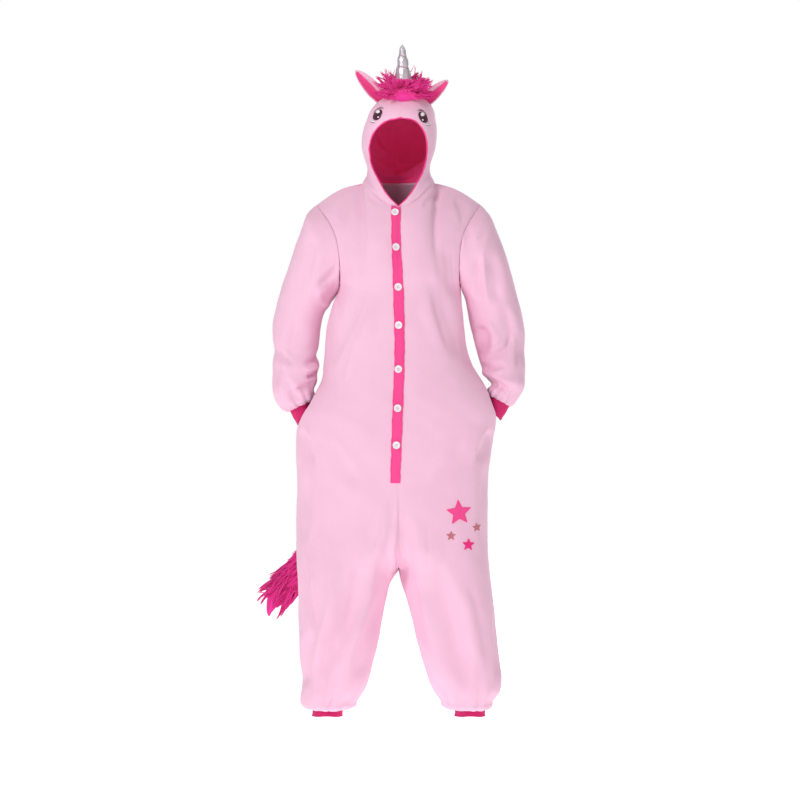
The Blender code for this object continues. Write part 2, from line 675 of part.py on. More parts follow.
class Surface:
    """A cloth surface of triangles, made from grids of points that share their seam points."""

    def __init__(self, grids, wraps=False, mirrored=()):
        self.points = []
        self.found = {}
        self.triangles = []
        for number, grid in enumerate(grids):
            self.add(grid, wraps, number in mirrored)
        self.points = np.array(self.points)
        self.face_outward()

    def place(self, point):
        key = key_of(point)
        if key not in self.found:
            self.found[key] = len(self.points)
            self.points.append(np.array(point, float))
        return self.found[key]

    def add(self, grid, wraps, mirrored):
        places = [[self.place(point) for point in row] for row in grid]
        count = len(places[0])
        for above, below in zip(places, places[1:]):
            for i in range(count if wraps else count - 1):
                k = (i + 1) % count
                for corners in ((above[i], below[i], below[k]), (above[i], below[k], above[k])):
                    if len(set(corners)) == 3:
                        self.triangles.append(corners[::-1] if mirrored else corners)

    def face_outward(self):
        """Turns the triangles to face away from the hollow side."""
        self.triangles = np.array(self.triangles)
        corners = self.points[self.triangles]
        normals = np.cross(corners[:, 1] - corners[:, 0], corners[:, 2] - corners[:, 0])
        middle = corners.reshape(-1, 3).mean(axis=0)
        if (normals * (corners.mean(axis=1) - middle)).sum() < 0:
            self.triangles = self.triangles[:, ::-1]
            normals = -normals
        self.face_normals = normals

    def borders(self):
        """The open edges, each in the direction of its triangle."""
        edges = {}
        for a, b, c in self.triangles:
            for edge in ((a, b), (b, c), (c, a)):
                edges[edge] = True
        return [edge for edge in edges if (edge[1], edge[0]) not in edges]


def key_of(point):
    return tuple(int(round(value * 1e6 / 5)) for value in point)


def share_normals(surfaces):
    """The direction out of the cloth at each point, the same for all pieces that meet there."""
    total = {}
    for surface in surfaces:
        keys = [key_of(point) for point in surface.points]
        for corners, normal in zip(surface.triangles, surface.face_normals):
            for corner in corners:
                total[keys[corner]] = total.get(keys[corner], 0.0) + normal
    return {key: normal / np.linalg.norm(normal) for key, normal in total.items()}


def wall_mesh(surface, normals, top, bottom, setback=0.0):
    """A closed wall: the surface moved out by top, and by bottom, joined round its edges."""
    points = surface.points.copy()
    outward = np.array([normals[key_of(point)] for point in surface.points])
    borders = surface.borders()
    if setback:
        toward = np.zeros_like(points)
        along = np.zeros_like(points)
        for corners in surface.triangles:
            centre = points[corners].mean(axis=0)
            for corner in corners:
                toward[corner] += centre - points[corner]
        for a, b in borders:
            along[a] += surface.points[b] - surface.points[a]
            along[b] += surface.points[b] - surface.points[a]
        for corner in {end for edge in borders for end in edge}:
            back = np.cross(along[corner], outward[corner])
            back /= max(np.linalg.norm(back), 1e-9)
            points[corner] += back * math.copysign(setback, back.dot(toward[corner]))
    upper = points + outward * top
    lower = points + outward * bottom
    count = len(points)
    faces = [tuple(int(v) for v in corners) for corners in surface.triangles]
    faces += [tuple(int(v) + count for v in corners[::-1]) for corners in surface.triangles]
    for a, b in borders:
        a, b = int(a), int(b)
        faces.append((b, a, a + count))
        faces.append((b, a + count, b + count))
    return np.concatenate([upper, lower]), faces


def closed_rings(rings, start, end):
    """A closed body through rings of points, each end drawn together at a point."""
    count = len(rings[0])
    points = [point for ring in rings for point in ring] + [start, end]
    first, last = len(points) - 2, len(points) - 1
    faces = []
    for i in range(len(rings) - 1):
        for k in range(count):
            a, b = i * count + k, i * count + (k + 1) % count
            faces.append((a, b, b + count, a + count))
    base = (len(rings) - 1) * count
    for k in range(count):
        faces.append((first, (k + 1) % count, k))
        faces.append((last, base + k, base + (k + 1) % count))
    return np.array(points), faces


def material(slot):
    found = bpy.data.materials.get(slot)
    if found:
        return found
    red, green, blue, roughness = COLOURS[slot]
    made = bpy.data.materials.new(slot)
    made.use_nodes = True
    shader = made.node_tree.nodes["Principled BSDF"]
    shader.inputs["Base Color"].default_value = (red, green, blue, 1.0)
    shader.inputs["Roughness"].default_value = roughness
    shader.inputs["Metallic"].default_value = 0.6 if slot == "horn_silver" else 0.0
    return made


def make(name, points, faces, slot, collection, smooth_angle=40.0):
    """A mesh object with its faces turned outwards."""
    mesh = bpy.data.meshes.new(name)
    mesh.from_pydata([tuple(point) for point in points], [], faces)
    work = bmesh.new()
    work.from_mesh(mesh)
    bmesh.ops.remove_doubles(work, verts=work.verts, dist=1e-7)
    bmesh.ops.recalc_face_normals(work, faces=work.faces)
    if work.calc_volume(signed=True) < 0:
        bmesh.ops.reverse_faces(work, faces=work.faces)
    work.to_mesh(mesh)
    work.free()
    mesh.shade_smooth()
    mesh.set_sharp_from_angle(angle=math.radians(smooth_angle))
    if slot:
        mesh.materials.append(material(slot))
    piece = bpy.data.objects.new(name, mesh)
    collection.objects.link(piece)
    return piece


def cutter(name, points, faces, collection):
    piece = make(name, points, faces, None, collection)
    piece.hide_render = True
    piece.display_type = "WIRE"
    return piece


def boolean(piece, operation, other):
    change = piece.modifiers.new(operation.lower() + "_" + other.name, "BOOLEAN")
    change.operation = operation
    change.object = other
    change.solver = "EXACT"


def prism(outline, near, far):
    """An outline in x and z, run through from y = near to y = far."""
    count = len(outline)
    points = [(x, near, z) for x, z in outline] + [(x, far, z) for x, z in outline]
    faces = [tuple(range(count)), tuple(range(2 * count - 1, count - 1, -1))]
    for i in range(count):
        k = (i + 1) % count
        faces.append((k, i, i + count, k + count))
    return points, faces


def ribbed_cuff(name, middle, across, forward, down, half, length, ribs, flare, parts):
    """A knitted cuff: ribs on its outside, plain inside."""
    count = ribs * 2
    rings = []
    for along, grow, inner in ((0.0, 0.0, False), (1.0, flare, False), (1.0, flare, True), (0.0, 0.0, True)):
        ring = []
        for k in range(count):
            turn = 2 * math.pi * k / count
            raised = 0.0 if inner else RIB * (k % 2)
            wall = CUFF_WALL if inner else 0.0
            a = half[0] + grow + raised - wall
            b = half[1] + grow + raised - wall
            arch = 0.004 * math.sin(turn) ** 2 if along else 0.0
            ring.append(
                middle + across * a * math.cos(turn) + forward * b * math.sin(turn)
                + down * (length * along - arch)
            )
        rings.append(ring)
    points = [point for ring in rings for point in ring]
    faces = []
    for i in range(4):
        j = (i + 1) % 4
        for k in range(count):
            n = (k + 1) % count
            faces.append((i * count + k, i * count + n, j * count + n, j * count + k))
    return make(name, points, faces, "rib_magenta", parts, SOFT_ANGLE)


def build_cuffs(parts):
    for side in ("right", "left"):
        middle, outward, forward, down = wrist_frame(side)
        ribbed_cuff(
            "wrist_cuff_" + side, middle - down * 0.004, outward, forward, down,
            WRIST_HALF, WRIST_LENGTH, 20, 0.001, parts,
        )
        ribbed_cuff(
            "ankle_cuff_" + side,
            np.array([ANKLE_X[side], 0.0, ANKLE_TOP]),
            np.array([1.0, 0.0, 0.0]), np.array([0.0, -1.0, 0.0]), np.array([0.0, 0.0, -1.0]),
            ANKLE_HALF, ANKLE_TOP - ANKLE_BOTTOM, 22, 0.0015, parts,
        )


def pocket_bag(side, parts):
    """A pouch inside the pocket mouth, open towards the sleeve."""
    pocket = POCKETS[side]
    sign = sign_of(side)
    middle_z = (pocket["top"] + pocket["bottom"]) / 2
    middle_y = (pocket["back"] - pocket["front"]) / 2
    outer = read(TORSO, side, "z", middle_z)

    def ring(inward, height, depth, drop, wall):
        line = []
        for k in range(BAG_STEPS):
            turn = 2 * math.pi * k / BAG_STEPS
            z = middle_z - drop + (height - wall) * math.cos(turn)
            at_seam = read(TORSO, side, "z", z)
            x = at_seam if inward == BAG[0][0] else min(at_seam, outer)
            half = pocket["bag"] * depth - wall
            line.append((sign * (x - inward), middle_y + half * math.sin(turn), z))
        return line

    outside = [ring(*row, 0.0) for row in BAG]
    inside = [ring(*row, LINING) for row in BAG]
    end_z = middle_z - BAG[-1][3]
    far = outer - BAG[-1][0] - BAG_END
    rings = outside[::-1] + inside
    start = (sign * far, middle_y, end_z)
    end = (sign * (far + LINING), middle_y, end_z)
    points, faces = closed_rings(rings, start, end)
    return make("pocket_bag_" + side, points, faces, "fleece_pink", parts, SOFT_ANGLE)


def band_pieces(fronts, normals, parts, cutters):
    """The button band on the centre front, and the underlap behind it."""
    near = [fronts[side][:, :BAND_COLUMNS] for side in ("left", "right")]
    surface = Surface(near, mirrored=(1,))
    outline = [(x, z) for x, z in zip(BAND["low"], BAND["z"])]
    outline += [(x, z) for x, z in zip(BAND["high"][::-1], BAND["z"][::-1])]
    shell = cutter(
        "band_shell", *wall_mesh(surface, normals, LIFT + BAND_CLOTH, LIFT), cutters
    )
    band = make("placket", *prism(outline, -FAR_FRONT, 0.0), "fleece_hot_pink", parts)
    boolean(band, "INTERSECT", shell)
    inner = -FLEECE - LIFT
    shell = cutter(
        "underlap_shell", *wall_mesh(surface, normals, inner, inner - BAND_CLOTH), cutters
    )
    low = BAND["high"] - UNDERLAP_WIDTH * 0.3
    outline = [(x, z) for x, z in zip(low, BAND["z"])]
    outline += [(x + UNDERLAP_WIDTH, z) for x, z in zip(low[::-1], BAND["z"][::-1])]
    under = make("placket_underlap", *prism(outline, -FAR_FRONT, 0.0), "fleece_hot_pink", parts)
    boolean(under, "INTERSECT", shell)
    return surface


def star_outline(x, z, radius, tilt):
    line = []
    for k in range(10):
        turn = math.radians(90 + tilt + 36 * k)
        reach = radius if k % 2 == 0 else radius * STAR_WAIST
        line.append((x + reach * math.cos(turn), z + reach * math.sin(turn)))
    return line


def build_stars(front, normals, parts, cutters):
    rows = [i for i, row in enumerate(front) if -1.09 < row[0][2] < -0.84]
    surface = Surface([front[rows[0] : rows[-1] + 1]])
    shell = cutter("star_shell", *wall_mesh(surface, normals, LIFT + FELT, LIFT), cutters)
    slots = ("fleece_hot_pink", "felt_magenta", "felt_rose", "felt_rose")
    for (name, star), slot in zip(STARS.items(), slots):
        piece = make(name, *prism(star_outline(*star), -FAR_FRONT, 0.0), slot, parts)
        boolean(piece, "INTERSECT", shell)


def build_eyes(hoods, normals, parts, cutters):
    for side in ("right", "left"):
        rows = [i for i, row in enumerate(hoods[side]) if row[0][2] > 0.15]
        surface = Surface([hoods[side][rows[0] :, : NECK_COLUMNS + 1]])
        shell = cutter("eye_shell_" + side, *wall_mesh(surface, normals, LIFT + FELT, LIFT), cutters)
        x, z, width, height, slant = EYES["eye_" + side]
        lean = math.radians(slant)
        outline = []
        for k in range(20):
            turn = 2 * math.pi * k / 20
            a, b = width * math.cos(turn), height * math.sin(turn)
            outline.append((
                x + a * math.cos(lean) - b * math.sin(lean),
                z + a * math.sin(lean) + b * math.cos(lean),
            ))
        piece = make("eye_" + side, *prism(outline, -FAR_FRONT, 0.0), "eye_dark", parts)
        boolean(piece, "INTERSECT", shell)


def front_point(surface, x, z, lift):
    """The foremost point of a surface at x and z, moved out, and the direction out of it."""
    corners = [tuple(int(v) for v in triangle) for triangle in surface.triangles]
    tree = BVHTree.FromPolygons([Vector(point) for point in surface.points], corners)
    place, normal, _, _ = tree.ray_cast(Vector((x, -1.0, z)), Vector((0.0, 1.0, 0.0)))
    if normal.y > 0:
        normal = -normal
    return place + normal * lift, normal


def build_buttons(surface, parts):
    """Seven turned buttons on the band, thicker at the rim."""
    profile = (
        (0.0, 0.0),
        (BUTTON_RADIUS * 0.86, 0.0),
        (BUTTON_RADIUS, 0.0010),
        (BUTTON_RADIUS, BUTTON_HEIGHT * 0.8),
        (BUTTON_RADIUS * 0.88, BUTTON_HEIGHT),
        (BUTTON_RADIUS * 0.68, BUTTON_HEIGHT * 0.70),
        (0.0, BUTTON_HEIGHT * 0.66),
    )
    for number, (x, z) in enumerate(zip(BUTTONS["x"], BUTTONS["z"]), 1):
        place, normal = front_point(surface, x, z, LIFT + BAND_CLOTH + BUTTON_SEAT)
        rings = []
        for radius, height in profile[1:-1]:
            ring = []
            for k in range(BUTTON_STEPS):
                turn = 2 * math.pi * k / BUTTON_STEPS
                ring.append((radius * math.cos(turn), radius * math.sin(turn), height))
            rings.append(ring)
        points, faces = closed_rings(rings, (0.0, 0.0, profile[0][1]), (0.0, 0.0, profile[-1][1]))
        piece = make(f"button_{number}", points, faces, "button_white", parts, 30.0)
        piece.location = place
        piece.rotation_euler = normal.to_track_quat("Z", "Y").to_euler()


def hood_form(hoods, normals, cutters):
    """A closed body of the hood's outer shape, a little larger, to trim what is sewn to it."""
    rings = []
    for left, right in zip(hoods["left"][1:], hoods["right"][1:]):
        loop = list(left) + list(right[-2::-1])
        rings.append([point + normals[key_of(point)] * LIFT for point in loop])
    low = np.mean(rings[0], axis=0)
    high = rings[-1][0]
    points, faces = closed_rings(rings[:-1], low, high)
    return cutter("hood_form", points, faces, cutters)


def ear_grid(side, inset, push):
    """Rows from root to tip and columns across, cupped towards the front."""
    root, tip, half, cup = EARS[side]
    root, tip = Vector(root), Vector(tip)
    axis = tip - root
    forward = Vector((0.0, -1.0, 0.0))
    forward = (forward - forward.project(axis)).normalized()
    across = axis.cross(forward).normalized()
    rows = []
    for share in np.linspace(-0.22, 1.0 - 1.6 * inset, 9):
        wide = (half - inset * 0.08) * max(1.0 - max(share, 0.0) ** 2.0, 0.0) ** 0.85
        wide *= 0.80 + 0.20 * smooth(share / 0.35)
        wide = max(wide, 0.0012)
        row = []
        for step in np.linspace(-1.0, 1.0, 7):
            lift = cup * (step * step) * (wide / half) + push
            row.append(root + axis * share + across * wide * step + forward * lift)
        rows.append(row)
    return np.array(rows)


def build_ears(form, parts, cutters):
    """Each ear is a cupped outer piece with a hot pink piece in front of it."""
    guards = []
    for side in ("right", "left"):
        for name, slot, inset, push in (
            ("outer", "fleece_pink", 0.0, 0.0),
            ("inner", "fleece_hot_pink", EAR_INSET, FLEECE / 2 + EAR_GAP),
        ):
            surface = Surface([ear_grid(side, inset, push)])
            normals = share_normals([surface])
            half = FLEECE / 2 if name == "outer" else LINING / 2
            shape = wall_mesh(surface, normals, half, -half)
            piece = make(f"ear_{side}_{name}", *shape, slot, parts, SOFT_ANGLE)
            if name == "inner":
                piece.location = (0.0, -half, 0.0)
            boolean(piece, "DIFFERENCE", form)
        surface = Surface([ear_grid(side, -EAR_MARGIN, 0.0)])
        shape = wall_mesh(surface, share_normals([surface]), EAR_ROOM, -EAR_ROOM)
        guards.append(cutter("ear_guard_" + side, *shape, cutters))
    return guards


def horn_rings(extra):
    axis = HORN_TIP - HORN_BASE
    turn = axis.to_track_quat("Z", "Y").to_matrix()
    scale = axis.length / HORN["along"][-1]
    rings = []
    for along, radius in zip(HORN["along"][:-1], HORN["radius"][:-1]):
        ring = []
        for k in range(HORN_STEPS):
            angle = 2 * math.pi * k / HORN_STEPS
            local = Vector((math.cos(angle), math.sin(angle), 0.0)) * (radius + extra)
            ring.append(HORN_BASE + turn @ (local + Vector((0.0, 0.0, along * scale))))
        rings.append(ring)
    return rings, HORN_BASE, HORN_TIP + turn @ Vector((0.0, 0.0, extra * 2))


def build_horn(form, parts, cutters):
    horn = make("horn", *closed_rings(*horn_rings(0.0)), "horn_silver", parts, SOFT_ANGLE)
    boolean(horn, "DIFFERENCE", form)
    return cutter("horn_guard", *closed_rings(*horn_rings(HORN_ROOM)), cutters)


def build_mane(form, guards, parts):
    """A ridge of fur over the crown and down the back of the hood."""
    line = np.stack([np.zeros(len(MANE["y"])), MANE["y"], MANE["z"]], axis=1)
    along = np.gradient(line, axis=0)
    rings = []
    for i, middle in enumerate(line):
        ahead = Vector(along[i]).normalized()
        up = Vector((1.0, 0.0, 0.0)).cross(ahead)
        ring = []
        for k in range(FUR_STEPS):
            turn = 2 * math.pi * k / FUR_STEPS
            tuft = 1.0 + TUFT * (-1) ** (k + i) * max(math.sin(turn), 0.0)
            place = Vector(middle) + Vector((MANE_X, 0.0, 0.0))
            place += Vector((1.0, 0.0, 0.0)) * MANE["width"][i] * math.cos(turn) * tuft
            place += up * MANE["height"][i] * math.sin(turn) * tuft
            ring.append(place)
        rings.append(ring)
    first = Vector((MANE_X, MANE["y"][0] - 0.006, MANE["z"][0] - 0.004))
    last = Vector((MANE_X, MANE["y"][-1] - 0.006, MANE["z"][-1] - 0.012))
    mane = make("mane", *closed_rings(rings, first, last), "fur_magenta", parts, SOFT_ANGLE)
    for other in [form] + guards:
        boolean(mane, "DIFFERENCE", other)


def seat_form(backs, normals, cutters):
    """The seat's outer shape, a little larger, to trim the tail's root."""
    left, right = backs["left"], backs["right"]
    rows = [i for i, row in enumerate(left) if -0.96 < row[0][2] < -0.73]
    loops = []
    for i in rows:
        loop = list(right[i, ::-1]) + list(left[i, 1:])
        loops.append([point + normals[key_of(point)] * LIFT for point in loop])
    low = np.mean(loops[-1], axis=0)
    high = np.mean(loops[0], axis=0)
    return cutter("seat_form", *closed_rings(loops, high, low), cutters)


def build_tail(form, parts):
    """A long tuft of fur from the seat, swung to the wearer's right."""
    line = np.stack([TAIL["x"], TAIL["y"], TAIL["z"]], axis=1)
    along = np.gradient(line, axis=0)
    rings = []
    for i, middle in enumerate(line):
        ahead = Vector(along[i]).normalized()
        side = ahead.cross(Vector((0.0, 1.0, 0.0))).normalized()
        up = side.cross(ahead)
        ring = []
        for k in range(FUR_STEPS):
            turn = 2 * math.pi * k / FUR_STEPS
            reach = TAIL["radius"][i] * (1.0 + TUFT * (-1) ** (k + i // 2))
            place = Vector(middle) + side * reach * math.cos(turn)
            ring.append(place + up * reach * TAIL_FLAT * math.sin(turn))
        rings.append(ring)
    end = Vector(line[-1]) + Vector(along[-1]).normalized() * 0.004
    tail = make("tail", *closed_rings(rings, Vector(line[0]), end), "fur_magenta", parts, SOFT_ANGLE)
    boolean(tail, "DIFFERENCE", form)


def lining_surface(hoods, normals):
    """The hood's surface moved in by its wall and a small gap, as one piece."""
    grids = []
    for side in ("left", "right"):
        grid = hoods[side][1:].copy()
        for point in grid.reshape(-1, 3):
            point -= normals[key_of(point)] * (FLEECE + LIFT)
        grids.append(grid)
    return Surface(grids, mirrored=(1,))


def main():
    for found in list(bpy.data.objects):
        bpy.data.objects.remove(found)
    parts = bpy.data.collections.new(OBJECT)
    cutters = bpy.data.collections.new("cutters")
    bpy.context.scene.collection.children.link(parts)
    bpy.context.scene.collection.children.link(cutters)

    fronts = {side: body_panel(side, "front") for side in ("right", "left")}
    backs = {side: body_panel(side, "back") for side in ("right", "left")}
    hoods = {side: hood_half(side) for side in ("right", "left")}
    sleeves = {side: sleeve(side) for side in ("right", "left")}
    cloth = {}
    for side in ("right", "left"):
        cloth["front_" + side] = Surface([fronts[side]])
        cloth["back_" + side] = Surface([backs[side]])
        cloth["sleeve_" + side] = Surface([sleeves[side]], wraps=True)
        cloth["hood_" + side] = Surface([hoods[side]])
    normals = share_normals(cloth.values())
    for name, surface in cloth.items():
        setback = {"sleeve": SLEEVE_SEAM, "hood": HOOD_SEAM}.get(name.split("_")[0], SEAM)
        make(name, *wall_mesh(surface, normals, 0.0, -FLEECE, setback), "fleece_pink", parts)

    lining = lining_surface(hoods, normals)
    inner = share_normals([lining])
    make("hood_lining", *wall_mesh(lining, inner, 0.0, -LINING, SEAM), "fleece_hot_pink", parts)

    build_cuffs(parts)
    for side in ("right", "left"):
        pocket_bag(side, parts)
    front = band_pieces(fronts, normals, parts, cutters)
    build_buttons(front, parts)
    build_stars(fronts["left"], normals, parts, cutters)
    build_eyes(hoods, normals, parts, cutters)
    form = hood_form(hoods, normals, cutters)
    guards = build_ears(form, parts, cutters)
    guards.append(build_horn(form, parts, cutters))
    build_mane(form, guards, parts)
    build_tail(seat_form(backs, normals, cutters), parts)


main()
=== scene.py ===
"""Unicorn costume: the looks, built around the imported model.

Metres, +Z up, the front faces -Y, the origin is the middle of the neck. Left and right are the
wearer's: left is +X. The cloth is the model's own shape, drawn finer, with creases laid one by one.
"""

import json
import math
import random

import bmesh
import bpy
import numpy as np
from mathutils import Matrix, Vector
from mathutils.bvhtree import BVHTree

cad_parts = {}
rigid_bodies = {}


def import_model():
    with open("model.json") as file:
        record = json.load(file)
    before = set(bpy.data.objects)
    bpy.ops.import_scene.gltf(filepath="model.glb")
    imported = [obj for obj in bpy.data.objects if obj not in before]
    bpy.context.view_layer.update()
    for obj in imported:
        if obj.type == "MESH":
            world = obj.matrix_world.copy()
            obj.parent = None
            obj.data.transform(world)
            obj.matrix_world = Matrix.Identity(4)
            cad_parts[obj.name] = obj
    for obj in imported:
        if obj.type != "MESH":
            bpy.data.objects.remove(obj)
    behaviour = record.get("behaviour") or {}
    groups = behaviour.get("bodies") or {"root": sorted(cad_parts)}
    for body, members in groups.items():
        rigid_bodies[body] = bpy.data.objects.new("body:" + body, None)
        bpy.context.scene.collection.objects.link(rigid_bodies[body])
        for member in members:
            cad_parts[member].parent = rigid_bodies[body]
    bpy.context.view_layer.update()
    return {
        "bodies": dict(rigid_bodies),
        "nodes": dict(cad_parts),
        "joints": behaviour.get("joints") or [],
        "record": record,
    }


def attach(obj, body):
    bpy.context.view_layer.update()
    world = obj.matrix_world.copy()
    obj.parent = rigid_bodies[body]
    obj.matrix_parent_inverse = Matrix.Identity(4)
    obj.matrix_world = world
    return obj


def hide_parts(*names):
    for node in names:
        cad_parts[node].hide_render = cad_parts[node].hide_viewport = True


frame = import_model()

# Cloth and sewing
FLEECE = 0.0026  # wall of the body cloth
LINING = 0.0014  # wall of the hood lining and the pocket bags
HOOD_SEAM = 0.0009  # the hood's edge stands back this far from its seam with the body
SLEEVE_SEAM = 0.0018  # the same for the sleeves, which meet the body at a sharper angle
LIFT = 0.0004  # what lies on a panel stands this far off it
ROUNDNESS = 2.3  # exponent of the body's oval sections

# Grid of the panels
NECK_COLUMNS = 5  # from the centre line to the neck point
SHOULDER_COLUMNS = 5  # from the neck point to the shoulder tip
COLUMNS = NECK_COLUMNS + SHOULDER_COLUMNS
YOKE_ROWS = 7  # from the neckline to the underarm


def table(heads, rows):
    """A table as a dictionary: each named column is an array of its values."""
    return dict(zip(heads.split(), np.array(rows, float).T))


# Body from underarm to crotch. right and left are the side seams' distance from the centre plane,
# front and back the cloth's distance from it. reach is how far each half's oval goes past the
# centre plane, as a share of its width: it falls to nothing at the crotch, where the legs part.
TORSO = table(
    "z right left front back middle reach",
    [
        (-0.288, 0.172, 0.180, 0.150, 0.147, 0.000, 1.00),
        (-0.363, 0.200, 0.186, 0.153, 0.147, 0.000, 1.00),
        (-0.455, 0.212, 0.197, 0.155, 0.146, 0.000, 1.00),
        (-0.500, 0.216, 0.211, 0.156, 0.148, 0.000, 1.00),
        (-0.524, 0.219, 0.225, 0.157, 0.150, 0.001, 1.00),
        (-0.554, 0.223, 0.246, 0.158, 0.153, 0.002, 1.00),
        (-0.588, 0.246, 0.270, 0.159, 0.157, 0.003, 1.00),
        (-0.611, 0.264, 0.282, 0.160, 0.160, 0.004, 1.00),
        (-0.634, 0.280, 0.287, 0.161, 0.163, 0.005, 1.00),
        (-0.658, 0.290, 0.286, 0.161, 0.166, 0.006, 1.00),
        (-0.690, 0.294, 0.279, 0.162, 0.170, 0.007, 1.00),
        (-0.755, 0.295, 0.267, 0.162, 0.178, 0.008, 1.00),
        (-0.847, 0.292, 0.259, 0.160, 0.185, 0.010, 1.00),
        (-0.950, 0.295, 0.258, 0.156, 0.184, 0.011, 0.80),
        (-1.031, 0.295, 0.258, 0.152, 0.178, 0.012, 0.35),
        (-1.066, 0.293, 0.260, 0.150, 0.173, 0.012, 0.15),
        (-1.083, 0.293, 0.262, 0.149, 0.170, 0.012, 0.06),
        (-1.092, 0.292, 0.263, 0.148, 0.169, 0.012, 0.02),
        (-1.097, 0.292, 0.264, 0.147, 0.168, 0.012, 0.00),
    ],
)
# Legs from crotch to hem: distances of the inner and outer seam from the centre plane.
LEGS = table(
    "z right_in right_out left_in left_out front back middle",
    [
        (-1.097, 0.000, 0.292, 0.000, 0.264, 0.147, 0.168, 0.012),
        (-1.123, 0.019, 0.290, 0.005, 0.267, 0.143, 0.160, 0.012),
        (-1.169, 0.033, 0.289, 0.019, 0.272, 0.137, 0.148, 0.011),
        (-1.215, 0.042, 0.289, 0.034, 0.277, 0.132, 0.140, 0.010),
        (-1.261, 0.050, 0.288, 0.045, 0.281, 0.128, 0.135, 0.009),
        (-1.308, 0.059, 0.286, 0.056, 0.287, 0.124, 0.131, 0.008),
        (-1.354, 0.071, 0.284, 0.068, 0.292, 0.119, 0.126, 0.007),
        (-1.400, 0.082, 0.278, 0.082, 0.297, 0.112, 0.119, 0.006),
        (-1.423, 0.091, 0.275, 0.091, 0.297, 0.107, 0.114, 0.005),
        (-1.446, 0.103, 0.282, 0.103, 0.291, 0.101, 0.108, 0.004),
        (-1.468, 0.118, 0.283, 0.120, 0.273, 0.092, 0.098, 0.003),
    ],
)
TORSO_LEVELS = (
    -0.288, -0.340, -0.395, -0.450, -0.505, -0.545, -0.580, -0.615, -0.650, -0.685, -0.715,
    -0.780, -0.860, -0.940, -1.000, -1.045, -1.072, -1.088, -1.097,
)
LEG_LEVELS = (-1.130, -1.185, -1.245, -1.305, -1.360, -1.405, -1.440, -1.468)
# Leg hem, gathered into its cuff: level, share of the way in to the cuff.
HEM = table("z inward", [(-1.482, 0.10), (-1.491, 0.42), (-1.492, 0.80), (-1.481, 1.00)])
ANKLE_TOP = -1.470
ANKLE_BOTTOM = -1.515
ANKLE_X = {"right": -0.2045, "left": 0.2060}
ANKLE_HALF = (0.0420, 0.0440)  # half width and half depth
CUFF_WALL = 0.0030
RIB = 0.0008
HEM_EASE = 0.0014  # the hem's turned edge stands this far off the cuff's ribs

# Pocket mouths in the side seams: top, bottom, and how far the front and the back edge stand open,
# and half the depth of the bag behind it.
POCKETS = {
    "right": {"top": -0.545, "bottom": -0.715, "front": 0.066, "back": 0.050, "bag": 0.0404},
    "left": {"top": -0.524, "bottom": -0.700, "front": 0.066, "back": 0.050, "bag": 0.0428},
}
# The bags, from the mouth inwards: inward distance, half height, share of the half depth, drop
BAG = (
    (0.016, 0.074, 1.00, 0.006),
    (0.034, 0.077, 1.02, 0.012),
    (0.062, 0.080, 0.96, 0.024),
    (0.095, 0.080, 0.80, 0.040),
    (0.122, 0.070, 0.52, 0.052),
    (0.136, 0.046, 0.26, 0.058),
)
BAG_END = 0.006  # from the last row to the rounded end

# Neckline and shoulder
NECK_FRONT = Vector((0.0, -0.115, -0.059))
NECK_POINT = Vector((0.105, 0.005, 0.020))
NECK_BACK = Vector((0.0, 0.088, 0.024))
SHOULDER_TIP = Vector((0.238, 0.012, -0.042))
SHOULDER_RISE = 0.011
CENTRE_FRONT = table(
    "z y", [(-0.059, -0.115), (-0.105, -0.132), (-0.160, -0.144), (-0.220, -0.149), (-0.288, -0.150)]
)
CENTRE_BACK = table(
    "z y", [(0.024, 0.088), (-0.050, 0.118), (-0.120, 0.138), (-0.200, 0.147), (-0.288, 0.147)]
)
ARMHOLE_FRONT = table(
    "x y z",
    [
        (0.238, 0.012, -0.042),
        (0.215, -0.043, -0.075),
        (0.190, -0.078, -0.118),
        (0.177, -0.090, -0.165),
        (0.173, -0.084, -0.222),
        (0.175, -0.050, -0.268),
        (0.180, 0.000, -0.288),
    ],
)
ARMHOLE_BACK = table(
    "x y z",
    [
        (0.238, 0.012, -0.042),
        (0.224, 0.060, -0.078),
        (0.208, 0.090, -0.125),
        (0.198, 0.101, -0.175),
        (0.191, 0.092, -0.228),
        (0.185, 0.055, -0.270),
        (0.180, 0.000, -0.288),
    ],
)
UNDERARM_X = {"right": 0.172, "left": 0.180}

